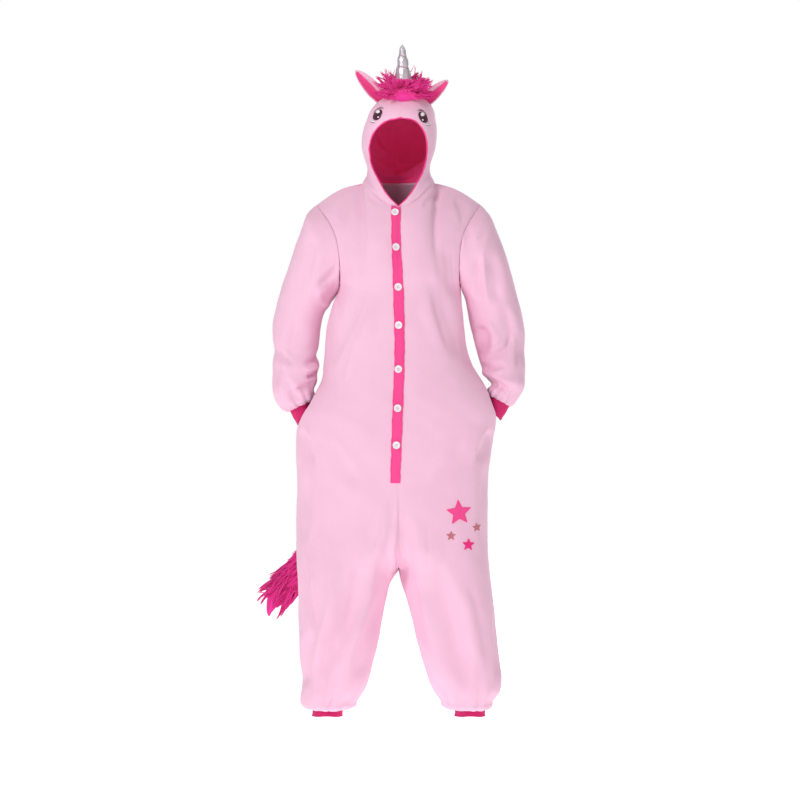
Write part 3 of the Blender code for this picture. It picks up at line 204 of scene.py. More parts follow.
# Sleeves, section by section: outer and inner edge seen from the front, y of the middle, half depth.
SLEEVE_HEADS = "out_x out_z in_x in_z y depth"
SLEEVES = {
    "right": table(
        SLEEVE_HEADS,
        [
            (0.264, -0.070, 0.184, -0.309, 0.004, 0.096),
            (0.279, -0.108, 0.193, -0.322, 0.006, 0.094),
            (0.297, -0.160, 0.202, -0.338, 0.010, 0.091),
            (0.316, -0.216, 0.213, -0.352, 0.015, 0.088),
            (0.334, -0.268, 0.221, -0.374, 0.020, 0.085),
            (0.351, -0.322, 0.226, -0.400, 0.024, 0.083),
            (0.363, -0.378, 0.228, -0.430, 0.027, 0.081),
            (0.3645, -0.422, 0.232, -0.456, 0.026, 0.078),
            (0.359, -0.460, 0.236, -0.479, 0.022, 0.074),
            (0.3625, -0.498, 0.229, -0.503, 0.014, 0.075),
            (0.362, -0.535, 0.234, -0.527, 0.005, 0.069),
            (0.362, -0.575, 0.235, -0.552, -0.003, 0.064),
            (0.354, -0.607, 0.244, -0.575, -0.006, 0.053),
        ],
    ),
    "left": table(
        SLEEVE_HEADS,
        [
            (0.264, -0.074, 0.190, -0.309, 0.004, 0.096),
            (0.281, -0.112, 0.194, -0.322, 0.006, 0.094),
            (0.301, -0.163, 0.197, -0.338, 0.010, 0.091),
            (0.321, -0.225, 0.201, -0.357, 0.015, 0.088),
            (0.338, -0.283, 0.207, -0.384, 0.020, 0.085),
            (0.353, -0.340, 0.214, -0.412, 0.024, 0.083),
            (0.363, -0.392, 0.222, -0.442, 0.027, 0.081),
            (0.365, -0.432, 0.228, -0.468, 0.026, 0.078),
            (0.364, -0.468, 0.234, -0.492, 0.022, 0.074),
            (0.366, -0.502, 0.240, -0.514, 0.014, 0.075),
            (0.364, -0.535, 0.242, -0.530, 0.005, 0.069),
            (0.362, -0.563, 0.256, -0.543, -0.004, 0.066),
            (0.351, -0.590, 0.265, -0.559, -0.006, 0.053),
        ],
    ),
}
# Wrist cuffs: middle of the cuff's top ring, and the angle by which its axis leans inwards.
WRISTS = {
    "right": {"x": 0.2855, "z": -0.6120, "y": -0.005, "lean": math.radians(28.0)},
    "left": {"x": 0.2935, "z": -0.5975, "y": -0.005, "lean": math.radians(31.0)},
}
WRIST_HALF = (0.0340, 0.0310)
WRIST_LENGTH = 0.060
# Sleeve hem: distance along the cuff's axis, share of the way in to the cuff.
SLEEVE_HEM = table("along inward", [(0.010, 0.18), (0.015, 0.50), (0.013, 0.85), (0.004, 1.00)])

# Hood from the neckline to the crown: level at the face edge and at the centre back, half width of
# the face opening and of the hood, and how far front and back stand from the origin.
HOOD = table(
    "z z_back opening width front back",
    [
        (-0.040, 0.036, 0.020, 0.0985, 0.114, 0.093),
        (-0.016, 0.048, 0.039, 0.0925, 0.111, 0.099),
        (0.014, 0.064, 0.056, 0.0895, 0.108, 0.109),
        (0.043, 0.086, 0.071, 0.0915, 0.107, 0.121),
        (0.077, 0.110, 0.082, 0.0990, 0.107, 0.133),
        (0.116, 0.140, 0.085, 0.1066, 0.108, 0.143),
        (0.151, 0.168, 0.076, 0.1066, 0.110, 0.147),
        (0.176, 0.191, 0.056, 0.1040, 0.112, 0.145),
        (0.190, 0.205, 0.032, 0.1000, 0.113, 0.140),
        (0.197, 0.212, 0.000, 0.0985, 0.113, 0.137),
        (0.228, 0.236, 0.000, 0.0900, 0.105, 0.120),
        (0.254, 0.256, 0.000, 0.0710, 0.083, 0.095),
        (0.269, 0.269, 0.000, 0.0420, 0.047, 0.060),
        (0.274, 0.274, 0.000, 0.0010, 0.001, 0.001),
    ],
)
COLLAR_ROWS = 6  # the rows above the neckline follow its dip, less and less
HOOD_MIDDLE = 0.015  # y of the hood's widest line
HOOD_LEAN = 0.013  # the crown sits this far towards the wearer's left

# Broad folds: half, face, where across the panel, top and bottom level, lean, width and depth.
FOLDS = (
    ("right", "front", 0.78, -0.33, -0.60, -0.05, 0.09, 0.010),
    ("left", "front", 0.80, -0.33, -0.58, -0.04, 0.09, 0.010),
    ("right", "front", 0.45, -0.88, -1.25, 0.22, 0.10, 0.009),
    ("left", "front", 0.40, -0.88, -1.25, 0.20, 0.10, 0.009),
    ("right", "front", 0.62, -1.20, -1.50, 0.06, 0.10, 0.009),
    ("left", "front", 0.55, -1.22, -1.50, -0.06, 0.10, 0.009),
    ("right", "front", 0.30, -1.30, -1.50, 0.04, 0.08, 0.007),
    ("left", "front", 0.80, -1.30, -1.50, 0.03, 0.08, 0.007),
    ("right", "back", 0.45, -0.30, -0.70, 0.05, 0.12, 0.010),
    ("left", "back", 0.45, -0.30, -0.70, 0.05, 0.12, 0.010),
    ("right", "back", 0.50, -0.90, -1.25, 0.15, 0.10, 0.010),
    ("left", "back", 0.50, -0.90, -1.25, 0.15, 0.10, 0.010),
    ("right", "back", 0.50, -1.22, -1.50, -0.06, 0.10, 0.010),
    ("left", "back", 0.45, -1.22, -1.50, 0.06, 0.10, 0.010),
)

# Front band with buttons: level, its left and right edge as seen, then the buttons' places
BAND = table(
    "z low high",
    [
        (-0.050, -0.0205, 0.0063),
        (-0.155, -0.0198, 0.0066),
        (-0.239, -0.0171, 0.0113),
        (-0.324, -0.0143, 0.0155),
        (-0.465, -0.0112, 0.0173),
        (-0.605, -0.0159, 0.0138),
        (-0.717, -0.0198, 0.0094),
        (-0.838, -0.0232, 0.0050),
    ],
)
BAND_CLOTH = 0.0022
UNDERLAP_WIDTH = 0.028
BUTTONS = table(
    "x z",
    [
        (-0.0098, -0.0765),
        (-0.0083, -0.1757),
        (-0.0016, -0.2875),
        (0.0013, -0.3947),
        (-0.0011, -0.5184),
        (-0.0033, -0.6280),
        (-0.0060, -0.7315),
    ],
)
BUTTON_RADIUS = 0.0107
BUTTON_HEIGHT = 0.0034
BUTTON_SEAT = 0.0009  # from the band to the back of a button

# Stars on the left leg: middle, radius to the points, and tilt in degrees
STARS = {
    "star_large": (0.1703, -0.9227, 0.0385, 4.0),
    "star_medium": (0.1971, -1.0135, 0.0192, -4.0),
    "star_small_upper": (0.2214, -0.9660, 0.0138, 6.0),
    "star_small_lower": (0.1478, -0.9874, 0.0147, -2.0),
}
STAR_WAIST = 0.46  # radius of the inner corners, as a share of the points'
FELT = 0.0010

# Eyes on the hood: middle, half width, half height, slant in degrees
EYES = {
    "eye_right": (-0.0585, 0.2045, 0.0115, 0.0170, -34.0),
    "eye_left": (0.0691, 0.1970, 0.0115, 0.0170, 34.0),
}

# Ears: root on the hood, tip, half width, depth of the cup
EARS = {
    "right": ((-0.050, -0.004, 0.262), (-0.1235, -0.022, 0.3405), 0.0225, 0.013),
    "left": ((0.070, -0.004, 0.248), (0.1425, -0.022, 0.3125), 0.0205, 0.012),
}

# Horn: distance from the base along its axis, radius
HORN = table(
    "along radius",
    [
        (0.000, 0.0240),
        (0.030, 0.0262),
        (0.046, 0.0248),
        (0.056, 0.0222),
        (0.072, 0.0216),
        (0.086, 0.0188),
        (0.092, 0.0166),
        (0.106, 0.0160),
        (0.118, 0.0128),
        (0.123, 0.0104),
        (0.136, 0.0092),
        (0.148, 0.0052),
        (0.154, 0.0000),
    ],
)
HORN_BASE = Vector((0.0160, -0.046, 0.2560))
HORN_TIP = Vector((0.0115, -0.050, 0.4105))

# Mane over the hood's centre line: y and z of the line, half width, height
MANE = table(
    "y z width height",
    [
        (-0.104, 0.254, 0.030, 0.020),
        (-0.086, 0.264, 0.054, 0.040),
        (-0.050, 0.270, 0.070, 0.058),
        (-0.006, 0.272, 0.068, 0.058),
        (0.040, 0.266, 0.056, 0.050),
        (0.082, 0.246, 0.044, 0.044),
        (0.116, 0.216, 0.036, 0.040),
        (0.134, 0.180, 0.032, 0.038),
        (0.134, 0.142, 0.030, 0.036),
        (0.120, 0.104, 0.026, 0.032),
        (0.104, 0.074, 0.016, 0.022),
    ],
)
MANE_X = 0.014

# Tail: its middle line and radius
TAIL = table(
    "x y z radius",
    [
        (-0.004, 0.170, -0.838, 0.020),
        (-0.016, 0.206, -0.856, 0.026),
        (-0.060, 0.244, -0.894, 0.034),
        (-0.120, 0.272, -0.948, 0.040),
        (-0.190, 0.290, -1.014, 0.044),
        (-0.260, 0.300, -1.082, 0.047),
        (-0.320, 0.302, -1.142, 0.047),
        (-0.364, 0.300, -1.192, 0.036),
        (-0.388, 0.298, -1.234, 0.016),
        (-0.392, 0.298, -1.258, 0.003),
    ],
)
TAIL_FLAT = 0.85  # depth of the tail, as a share of its width


def soften(share):
    """Shares from 0 to 1, eased at both ends."""
    return share * share * (3.0 - 2.0 * share)


def smooth(share):
    """A share, kept from 0 to 1 and eased at both ends."""
    return soften(min(max(share, 0.0), 1.0))


def read(columns, head, key, at):
    """A column of a table at a value of its key column, by a smooth curve through its rows."""
    keys = columns[key]
    values = columns[head]
    if keys[0] > keys[-1]:
        keys, values = keys[::-1], values[::-1]
    at = min(max(at, keys[0]), keys[-1])
    i = min(max(int(np.searchsorted(keys, at)) - 1, 0), len(keys) - 2)
    steps = np.diff(values) / np.diff(keys)
    slopes = np.concatenate([[steps[0]], (steps[1:] + steps[:-1]) / 2, [steps[-1]]])
    turns = np.concatenate([[False], steps[1:] * steps[:-1] <= 0, [False]])
    slopes[turns] = 0.0
    span = keys[i + 1] - keys[i]
    t = (at - keys[i]) / span
    rise = values[i + 1] - values[i]
    a = slopes[i] * span - rise
    b = rise - slopes[i + 1] * span
    return values[i] + t * rise + t * (1 - t) * ((1 - t) * a + t * b)


def distances(points, axis=0):
    """How far each point of a line or a grid is along it from its first point."""
    steps = np.linalg.norm(np.diff(points, axis=axis), axis=-1)
    start = np.zeros_like(steps.take([0], axis=axis))
    return np.concatenate([start, np.cumsum(steps, axis=axis)], axis=axis)


def points_at(line, along, wanted):
    """The points of a line at the wanted distances along it."""
    return np.stack([np.interp(wanted, along, line[:, axis]) for axis in range(3)], axis=-1)


def evenly(points, count):
    """count + 1 points at even distances along a line of points."""
    points = np.asarray(points, float)
    along = distances(points)
    return points_at(points, along, np.linspace(0.0, along[-1], count + 1))


def curve_through(columns, heads, count, fine=12):
    """count + 1 even points on a smooth curve through a table's rows."""
    rows = np.stack([columns[head] for head in heads.split()], axis=1)
    before = np.concatenate([[2 * rows[0] - rows[1]], rows, [2 * rows[-1] - rows[-2]]])
    line = []
    for i in range(1, len(before) - 2):
        p0, p1, p2, p3 = before[i - 1 : i + 3]
        for t in np.linspace(0.0, 1.0, fine, endpoint=False):
            line.append(
                0.5 * (2 * p1 + (p2 - p0) * t + (2 * p0 - 5 * p1 + 4 * p2 - p3) * t**2)
                + 0.5 * (3 * p1 - p0 - 3 * p2 + p3) * t**3
            )
    line.append(before[-2])
    return evenly(line, count) if count else np.array(line)


def sign_of(side):
    return -1.0 if side == "right" else 1.0


def mouth_open(side, z):
    """How far open the pocket mouth is at a level, from 0 to 1."""
    pocket = POCKETS[side]
    share = (pocket["top"] - z) / (pocket["top"] - pocket["bottom"])
    return math.sin(math.pi * share) ** 1.4 if 0.0 < share < 1.0 else 0.0


def fold_depth(side, face, across, z):
    """How far the panel is drawn in at a point by its broad folds."""
    depth = 0.0
    for half, on, middle, top, bottom, lean, width, deepest in FOLDS:
        share = (top - z) / (top - bottom)
        if (half, on) != (side, face) or not 0.0 < share < 1.0:
            continue
        offset = (across - middle - lean * (share - 0.5)) / width
        depth += deepest * math.exp(-offset * offset) * math.sin(math.pi * share)
    return depth * math.sin(math.pi * across)


def half_ring(side, face, z, count):
    """The section of one panel at a level, from its centre or inner seam to its side seam."""
    if z >= LEGS["z"][0]:
        outer = read(TORSO, side, "z", z)
        inner = -outer * read(TORSO, "reach", "z", z)
        rows = TORSO
    else:
        outer = read(LEGS, side + "_out", "z", z)
        inner = read(LEGS, side + "_in", "z", z)
        rows = LEGS
    middle_y = read(rows, "middle", "z", z)
    forward = -1.0 if face == "front" else 1.0
    depth = read(rows, face, "z", z) - forward * middle_y
    middle_x = (inner + outer) / 2
    half = (outer - inner) / 2
    start = math.acos((middle_x / half) ** (ROUNDNESS / 2)) if inner < 0 else 0.0
    gap = POCKETS[side][face] * mouth_open(side, z)
    end = math.pi - math.asin((gap / depth) ** (ROUNDNESS / 2))
    line = []
    for angle in np.linspace(start, end, 160):
        turn = math.cos(angle)
        x = middle_x - half * math.copysign(abs(turn) ** (2 / ROUNDNESS), turn)
        y = middle_y + forward * depth * abs(math.sin(angle)) ** (2 / ROUNDNESS)
        line.append((x, y, z))
    line[0] = (max(inner, 0.0), line[0][1], z)
    points = evenly(line, count)
    for column, point in enumerate(points):
        inward = np.array([middle_x if inner > 0 else 0.0, middle_y, z]) - point
        inward /= max(np.linalg.norm(inward), 1e-6)
        point += inward * fold_depth(side, face, column / count, z)
    points[:, 0] *= sign_of(side)
    return points


def neckline(face, count):
    """The neck seam of the left half, from the centre line to the neck point."""
    line = []
    for turn in np.linspace(0.0, math.pi / 2, count + 1):
        x = NECK_POINT.x * math.sin(turn)
        if face == "front":
            y = NECK_POINT.y + (NECK_FRONT.y - NECK_POINT.y) * math.cos(turn)
            z = NECK_FRONT.z + (NECK_POINT.z - NECK_FRONT.z) * smooth(turn / math.radians(86))
        else:
            y = NECK_POINT.y + (NECK_BACK.y - NECK_POINT.y) * math.cos(turn)
            z = NECK_POINT.z + (NECK_BACK.z - NECK_POINT.z) * math.cos(turn)
        line.append((x, y, z))
    return np.array(line)


def shoulder_seam(count):
    line = []
    for share in np.linspace(0.0, 1.0, count + 1):
        point = NECK_POINT.lerp(SHOULDER_TIP, share)
        line.append((point.x, point.y, point.z + SHOULDER_RISE * math.sin(math.pi * share)))
    return np.array(line)


def armhole(side, face, count):
    """The armhole's seam from the shoulder tip to the underarm."""
    columns = ARMHOLE_FRONT if face == "front" else ARMHOLE_BACK
    line = curve_through(columns, "x y z", count)
    narrow = UNDERARM_X["left"] - UNDERARM_X[side]
    line[:, 0] -= narrow * np.linspace(0.0, 1.0, count + 1)
    line[:, 0] *= sign_of(side)
    return line


def yoke(side, face):
    """The panel above the underarm, filled in between its four edges."""
    top = np.concatenate([neckline(face, NECK_COLUMNS), shoulder_seam(SHOULDER_COLUMNS)[1:]])
    top[:, 0] *= sign_of(side)
    bottom = half_ring(side, face, TORSO_LEVELS[0], COLUMNS)
    centre = CENTRE_FRONT if face == "front" else CENTRE_BACK
    levels = np.linspace(centre["z"][0], centre["z"][-1], YOKE_ROWS + 1)
    inner = np.array([(0.0, read(centre, "y", "z", z), z) for z in levels])
    outer = armhole(side, face, YOKE_ROWS)
    grid = np.empty((YOKE_ROWS + 1, COLUMNS + 1, 3))
    for row in range(YOKE_ROWS + 1):
        v = row / YOKE_ROWS
        for column in range(COLUMNS + 1):
            u = column / COLUMNS
            corners = (1 - u) * ((1 - v) * top[0] + v * bottom[0])
            corners += u * ((1 - v) * top[-1] + v * bottom[-1])
            across = (1 - u) * inner[row] + u * outer[row]
            down = (1 - v) * top[column] + v * bottom[column]
            grid[row, column] = across + down - corners
    grid[0], grid[-1] = top, bottom
    grid[:, 0], grid[:, -1] = inner, outer
    return grid


def ankle_ring(side, face, z, count, ease):
    """Half of an oval round the ankle cuff, from the inner seam to the side seam."""
    forward = -1.0 if face == "front" else 1.0
    line = []
    for turn in np.linspace(0.0, math.pi, count + 1):
        x = ANKLE_X[side] - sign_of(side) * (ANKLE_HALF[0] + ease) * math.cos(turn)
        line.append((x, forward * (ANKLE_HALF[1] + ease) * math.sin(turn), z))
    return np.array(line)


def leg_hem(side, face):
    """The hem's rows: the leg turns under and in to its cuff, in gathers."""
    wide = half_ring(side, face, LEG_LEVELS[-1], COLUMNS)
    cuff = ankle_ring(side, face, ANKLE_TOP, COLUMNS, RIB + HEM_EASE)
    rows = []
    for z, inward in zip(HEM["z"], HEM["inward"]):
        row = wide * (1 - inward) + cuff * inward
        row[:, 2] = z
        rows.append(row)
    return rows


def body_panel(side, face):
    """One front or back piece, from the neckline and shoulder to the ankle."""
    rows = list(yoke(side, face))
    levels = TORSO_LEVELS[1:] + LEG_LEVELS
    rows += [half_ring(side, face, z, COLUMNS) for z in levels]
    return np.array(rows + leg_hem(side, face))


def wrist_frame(side):
    """The cuff's top middle, its outward, forward and downward directions."""
    wrist = WRISTS[side]
    sign = sign_of(side)
    lean = wrist["lean"]
    middle = np.array([sign * wrist["x"], wrist["y"], wrist["z"]])
    outward = np.array([sign * math.cos(lean), 0.0, -math.sin(lean)])
    down = np.array([-sign * math.sin(lean), 0.0, -math.cos(lean)])
    return middle, outward, np.array([0.0, -1.0, 0.0]), down


def sleeve(side):
    """A tube from the armhole to the wrist, its first column on top of the shoulder."""
    front = armhole(side, "front", YOKE_ROWS)
    back = armhole(side, "back", YOKE_ROWS)[::-1]
    loop = np.concatenate([front[:-1], back[:-1]])
    turns = np.linspace(0.0, 2 * math.pi, len(loop), endpoint=False)
    rows = [loop]
    columns = SLEEVES[side]
    for i in range(len(columns["y"])):
        outer = np.array([columns["out_x"][i], columns["y"][i], columns["out_z"][i]])
        inner = np.array([columns["in_x"][i], columns["y"][i], columns["in_z"][i]])
        outer[0] *= sign_of(side)
        inner[0] *= sign_of(side)
        half = (outer - inner) / 2
        forward = np.array([0.0, -columns["depth"][i], 0.0])
        middle = (outer + inner) / 2
        rows.append([middle + half * math.cos(t) + forward * math.sin(t) for t in turns])
    middle, outward, forward, down = wrist_frame(side)
    wide = np.array(rows[-1])
    for along, inward in zip(SLEEVE_HEM["along"], SLEEVE_HEM["inward"]):
        ease = RIB + HEM_EASE
        cuff = np.array([
            middle
            + outward * (WRIST_HALF[0] + ease) * math.cos(t)
            + forward * (WRIST_HALF[1] + ease) * math.sin(t)
            for t in turns
        ])
        ring = wide * (1 - inward) + cuff * inward
        ring += down * (along + (1 - inward) * 0.012)
        rows.append(ring)
    return np.array(rows)


def lean_hood(points):
    """The crown leans a little to the wearer's left."""
    for point in points:
        point[0] += HOOD_LEAN * smooth((point[2] - 0.12) / 0.15)
    return points


def hood_half(side):
    """Rows from the neckline up to the crown, columns from the face edge to the centre back."""
    neck = np.concatenate([neckline("front", NECK_COLUMNS), neckline("back", NECK_COLUMNS)[-2::-1]])
    rows = [neck]
    for i in range(len(HOOD["z"])):
        width, front, back = HOOD["width"][i], HOOD["front"][i], HOOD["back"][i]
        edge = math.asin(min((HOOD["opening"][i] / width), 1.0) ** (ROUNDNESS / 2))
        turns = np.concatenate([
            np.linspace(edge, math.pi / 2, NECK_COLUMNS + 1),
            np.linspace(math.pi / 2, math.pi, NECK_COLUMNS + 1)[1:],
        ])
        row = []
        settle = smooth((i + 1) / COLLAR_ROWS)
        for column, turn in enumerate(turns):
            reach = front + HOOD_MIDDLE if turn < math.pi / 2 else back - HOOD_MIDDLE
            share = smooth(column / (2 * NECK_COLUMNS))
            level = HOOD["z"][i] * (1 - share) + HOOD["z_back"][i] * share
            rise = (HOOD["z"][i] - neck[0, 2]) * (1 - share) + (HOOD["z_back"][i] - neck[-1, 2]) * share
            level += (1 - settle) * (neck[column, 2] + rise - level)
            swing = math.cos(turn)
            row.append((
                width * abs(math.sin(turn)) ** (2 / ROUNDNESS),
                HOOD_MIDDLE - reach * math.copysign(abs(swing) ** (2 / ROUNDNESS), swing),
                level,
            ))
        row[-1] = (0.0, row[-1][1], row[-1][2])
        rows.append(row)
    rows = np.array(rows)
    rows[-1] = (0.0, HOOD_MIDDLE, HOOD["z"][-1])
    rows[:, :, 0] *= sign_of(side)
    lean_hood(rows.reshape(-1, 3))
    return rows


# Finer cloth

ACROSS = 6  # fine columns to each of the model's
DOWN = 5  # fine rows to each of the model's
SEAM_PLACES = (0.03, 0.07, 0.13)  # more lines close to a seam, as shares of a coarse step
SEAM_DIP = 0.0011  # how far the cloth is drawn in along a seam
SEAM_REACH = 0.0035


def spline(points, places, wraps=False):
    """A smooth curve through rows of points, at places counted in rows."""
    points = np.asarray(points, float)
    if wraps:
        padded = np.concatenate([points[-1:], points, points[:2]])
    else:
        first = 2 * points[:1] - points[1:2]
        last = 2 * points[-1:] - points[-2:-1]
        padded = np.concatenate([first, points, last])
    top = len(points) - (0 if wraps else 1)
    start = np.clip(np.floor(places).astype(int), 0, top - 1)
    t = (np.asarray(places) - start).reshape((-1,) + (1,) * (points.ndim - 1))
    p0, p1, p2, p3 = (padded[start + k] for k in range(4))
    return p1 + 0.5 * t * (p2 - p0 + t * (2 * p0 - 5 * p1 + 4 * p2 - p3 + t * (3 * (p1 - p2) + p3 - p0)))


def places_of(count, fine, low=True, high=True):
    """Fine places along a coarse grid, closer together at its seams."""
    even = np.linspace(0.0, count, count * fine + 1)
    more = []
    if low:
        more += list(SEAM_PLACES)
    if high:
        more += [count - share for share in SEAM_PLACES]
    return np.unique(np.round(np.concatenate([even, more]), 6))


def finer(grid, wraps=False, low=True, high=True):
    """A coarse grid drawn finer both ways. Seam points stay the same for both neighbours."""
    rows = places_of(len(grid) - 1, DOWN, low, high)
    if wraps:
        count = grid.shape[1]
        columns = np.linspace(0.0, count, count * ACROSS, endpoint=False)
    else:
        columns = places_of(grid.shape[1] - 1, ACROSS)
    down = spline(grid, rows)
    return spline(down.transpose(1, 0, 2), columns, wraps).transpose(1, 0, 2)


def grid_normals(grid, wraps):
    """Directions out of a grid's surface."""
    if wraps:
        wide = np.concatenate([grid[:, -1:], grid, grid[:, :1]], axis=1)
        across = (wide[:, 2:] - wide[:, :-2]) / 2
    else:
        across = np.gradient(grid, axis=1)
    down = np.gradient(grid, axis=0)
    out = np.cross(down, across)
    out /= np.maximum(np.linalg.norm(out, axis=2, keepdims=True), 1e-12)
    return out


class Cloth:
    """A fine grid of cloth with the directions out of it."""

    def __init__(self, grid, wraps, setback, beside=0.0):
        self.points = np.array(grid, float)
        self.wraps = wraps
        self.setback, self.beside = setback, beside
        out = grid_normals(self.points, wraps)
        middle = self.points.mean(axis=(0, 1))
        self.flip = bool(((self.points - middle) * out).sum() < 0)
        self.out = -out if self.flip else out
        self.seam = self.seam_distance()

    def seam_distance(self):
        """How far each point is from the nearest sewn edge of its piece, along the grid."""
        far = distances(self.points)
        if not self.wraps:
            across = distances(self.points, axis=1)
            far = np.minimum(far, np.minimum(across, across[:, -1:] - across))
        return far

    def move(self, depth):
        """Every point goes in by its depth."""
        self.points -= self.out * depth[:, :, None]

    def drawn_back(self):
        """The points, the end rows moved in from their seams by setback, the side columns by beside."""
        points = self.points.copy()
        edges = [(0, 1, 0), (-1, -2, 0)]
        if not self.wraps:
            edges += [(0, 1, 1), (-1, -2, 1)]
        for edge, inner, axis in edges:
            line = points.take(edge, axis=axis)
            step = self.points.take(inner, axis=axis) - self.points.take(edge, axis=axis)
            length = np.maximum(np.linalg.norm(step, axis=1, keepdims=True), 1e-9)
            back = self.setback if axis == 0 else self.beside
            line = line + step / length * np.minimum(back, length * 0.4)
            if axis == 0:
                points[edge] = line
            else:
                points[:, edge] = line
        return points


def key_of(point):
    """The same for points less than a few thousandths of a millimetre apart."""
    return tuple(int(round(value * 2e5)) for value in point)


def share_directions(cloths):
    """Pieces that meet take the same direction out at their common points."""
    total = {}
    for cloth in cloths:
        rows, columns = cloth.points.shape[:2]
        cloth.border = [(i, k) for i in (0, rows - 1) for k in range(columns)]
        if not cloth.wraps:
            cloth.border += [(i, k) for i in range(1, rows - 1) for k in (0, columns - 1)]
        for i, k in cloth.border:
            key = key_of(cloth.points[i, k])
            total[key] = total.get(key, 0.0) + cloth.out[i, k]
    for cloth in cloths:
        for i, k in cloth.border:
            found = total[key_of(cloth.points[i, k])]
            cloth.out[i, k] = found / max(np.linalg.norm(found), 1e-9)


def shell(points, out, wall, wraps, flip, top=0.0):
    """A closed wall of quads: the outer grid at top, the inner grid a wall's thickness further in."""
    rows, columns = points.shape[:2]
    count = rows * columns
    upper = points + out * top
    lower = points + out * (top - wall)
    at = np.arange(count).reshape(rows, columns)
    right = np.roll(at, -1, axis=1)
    last = columns if wraps else columns - 1
    quads = np.stack([at[:-1], at[1:], right[1:], right[:-1]], axis=-1)[:, :last].reshape(-1, 4)
    if flip:
        quads = quads[:, ::-1]
    faces = [quads, quads[:, ::-1] + count]
    edges = [(at[0, k], right[0, k]) for k in range(last)]
    edges += [(right[-1, k], at[-1, k]) for k in range(last)]
    if not wraps:
        edges += [(at[i + 1, 0], at[i, 0]) for i in range(rows - 1)]
        edges += [(at[i, -1], at[i + 1, -1]) for i in range(rows - 1)]
    edges = np.array(edges)
    if not flip:
        edges = edges[:, ::-1]
    rim = np.stack([edges[:, 1], edges[:, 0], edges[:, 0] + count, edges[:, 1] + count], axis=1)
    faces.append(rim)
    return np.concatenate([upper.reshape(-1, 3), lower.reshape(-1, 3)]), np.concatenate(faces)


# Creases, laid one by one. Their places are read off the photograph in its own pixels, and those
# on the back are set in the same way, seen through from the front.

PIXEL = 0.00288  # metres, at the plane through the neck
MIDDLE_PIXEL = 398.5  # column of the centre plane
SIGHT_PIXEL = 400.0  # the camera looks straight at this row
SIGHT_LEVEL = -0.605  # and stands at this level
NEARER = PIXEL * 0.978  # the front is nearer to the camera than the middle

CREASE_DEPTH = 1.55  # every depth below is multiplied by this

# Face, half width and depth in millimetres (a ridge is negative), then the points along it
BODY_CREASES = (
    ("front", 17, 4.5, (366, 286), (352, 318), (338, 346), (329, 368)),
    ("front", 13, -3.0, (377, 292), (366, 326), (352, 356), (344, 384)),
    ("front", 20, 6.0, (437, 274), (445, 310), (456, 340), (465, 364)),
    ("front", 24, 5.0, (446, 244), (451, 272), (450, 306)),
    ("front", 12, -3.0, (427, 290), (434, 322), (446, 352)),
    ("front", 10, 3.5, (338, 258), (337, 288), (341, 318)),
    ("front", 13, 5.5, (299, 426), (306, 446), (314, 466)),
    ("front", 13, 5.5, (494, 428), (485, 446), (475, 466)),
    ("front", 18, 3.5, (328, 440), (344, 466), (366, 484)),
    ("front", 18, 3.0, (466, 438), (452, 462), (430, 482)),
    ("front", 7, 3.0, (365, 181), (371, 193), (382, 206)),
    ("front", 8, 3.5, (443, 186), (431, 196), (421, 207)),
    ("front", 12, 3.0, (352, 190), (346, 206), (345, 224)),
    ("front", 11, 2.5, (455, 192), (462, 208), (463, 226)),
    ("front", 4, 2.4, (401, 486), (400, 520), (398, 556), (396, 588)),
    ("front", 16, 9.0, (404, 506), (403, 545), (400, 575), (397, 602)),
    ("front", 14, -3.5, (388, 500), (384, 530), (378, 560)),
    ("front", 18, -6.5, (385, 528), (368, 566), (359, 614), (343, 668)),
    ("front", 20, 8.5, (372, 548), (354, 610), (330, 658), (318, 698)),
    ("front", 14, -5.0, (338, 548), (329, 606), (320, 640), (305, 688)),
    ("front", 7, 6.0, (303, 552), (306, 584), (311, 610), (316, 636)),
    ("front", 15, 8.5, (311, 630), (307, 652), (304, 676), (303, 692)),
    ("front", 16, 5.5, (385, 588), (371, 648), (354, 692)),
    ("front", 9, 3.0, (344, 640), (336, 668), (331, 694)),
    ("front", 25, 8.5, (438, 556), (449, 610), (460, 652), (470, 694)),
    ("front", 18, -5.0, (421, 590), (432, 646), (444, 694)),
    ("front", 16, -4.0, (462, 580), (474, 630), (484, 676)),
    ("front", 8, 5.0, (495, 616), (498, 656), (496, 692)),
    ("front", 13, 6.5, (410, 570), (420, 612), (431, 652)),
    ("front", 20, 4.5, (486, 462), (487, 512), (489, 566)),
    ("front", 17, 4.0, (306, 476), (304, 514), (303, 548)),
    ("back", 20, 6.5, (350, 230), (344, 262), (342, 294)),
    ("back", 18, 6.0, (447, 226), (454, 260), (455, 292)),
    ("back", 16, -3.5, (366, 232), (360, 268), (362, 306)),
    ("back", 30, 5.5, (391, 250), (389, 330), (396, 404)),
    ("back", 22, 7.5, (357, 320), (350, 376), (338, 432)),
    ("back", 19, 6.5, (439, 312), (447, 368), (460, 428)),
    ("back", 14, -4.0, (374, 330), (370, 390), (360, 446)),
    ("back", 15, 4.5, (420, 346), (424, 396), (436, 450)),
    ("back", 14, 7.5, (346, 512), (370, 532), (392, 540)),
    ("back", 13, 7.0, (450, 508), (427, 530), (405, 541)),
    ("back", 12, 4.5, (360, 488), (378, 500), (396, 503)),
    ("back", 4, 2.4, (398.5, 240), (398.5, 360), (398.5, 440)),
    ("back", 20, 8.5, (326, 546), (338, 616), (330, 692)),
    ("back", 17, 6.5, (374, 572), (364, 636), (352, 692)),
    ("back", 14, -5.0, (350, 560), (350, 620), (342, 680)),
    ("back", 21, 8.0, (455, 548), (446, 614), (453, 692)),
    ("back", 16, 6.0, (483, 580), (480, 636), (473, 694)),
    ("back", 14, 5.5, (423, 584), (431, 638), (438, 690)),
    ("back", 15, 5.0, (304, 590), (308, 640), (312, 690)),
)
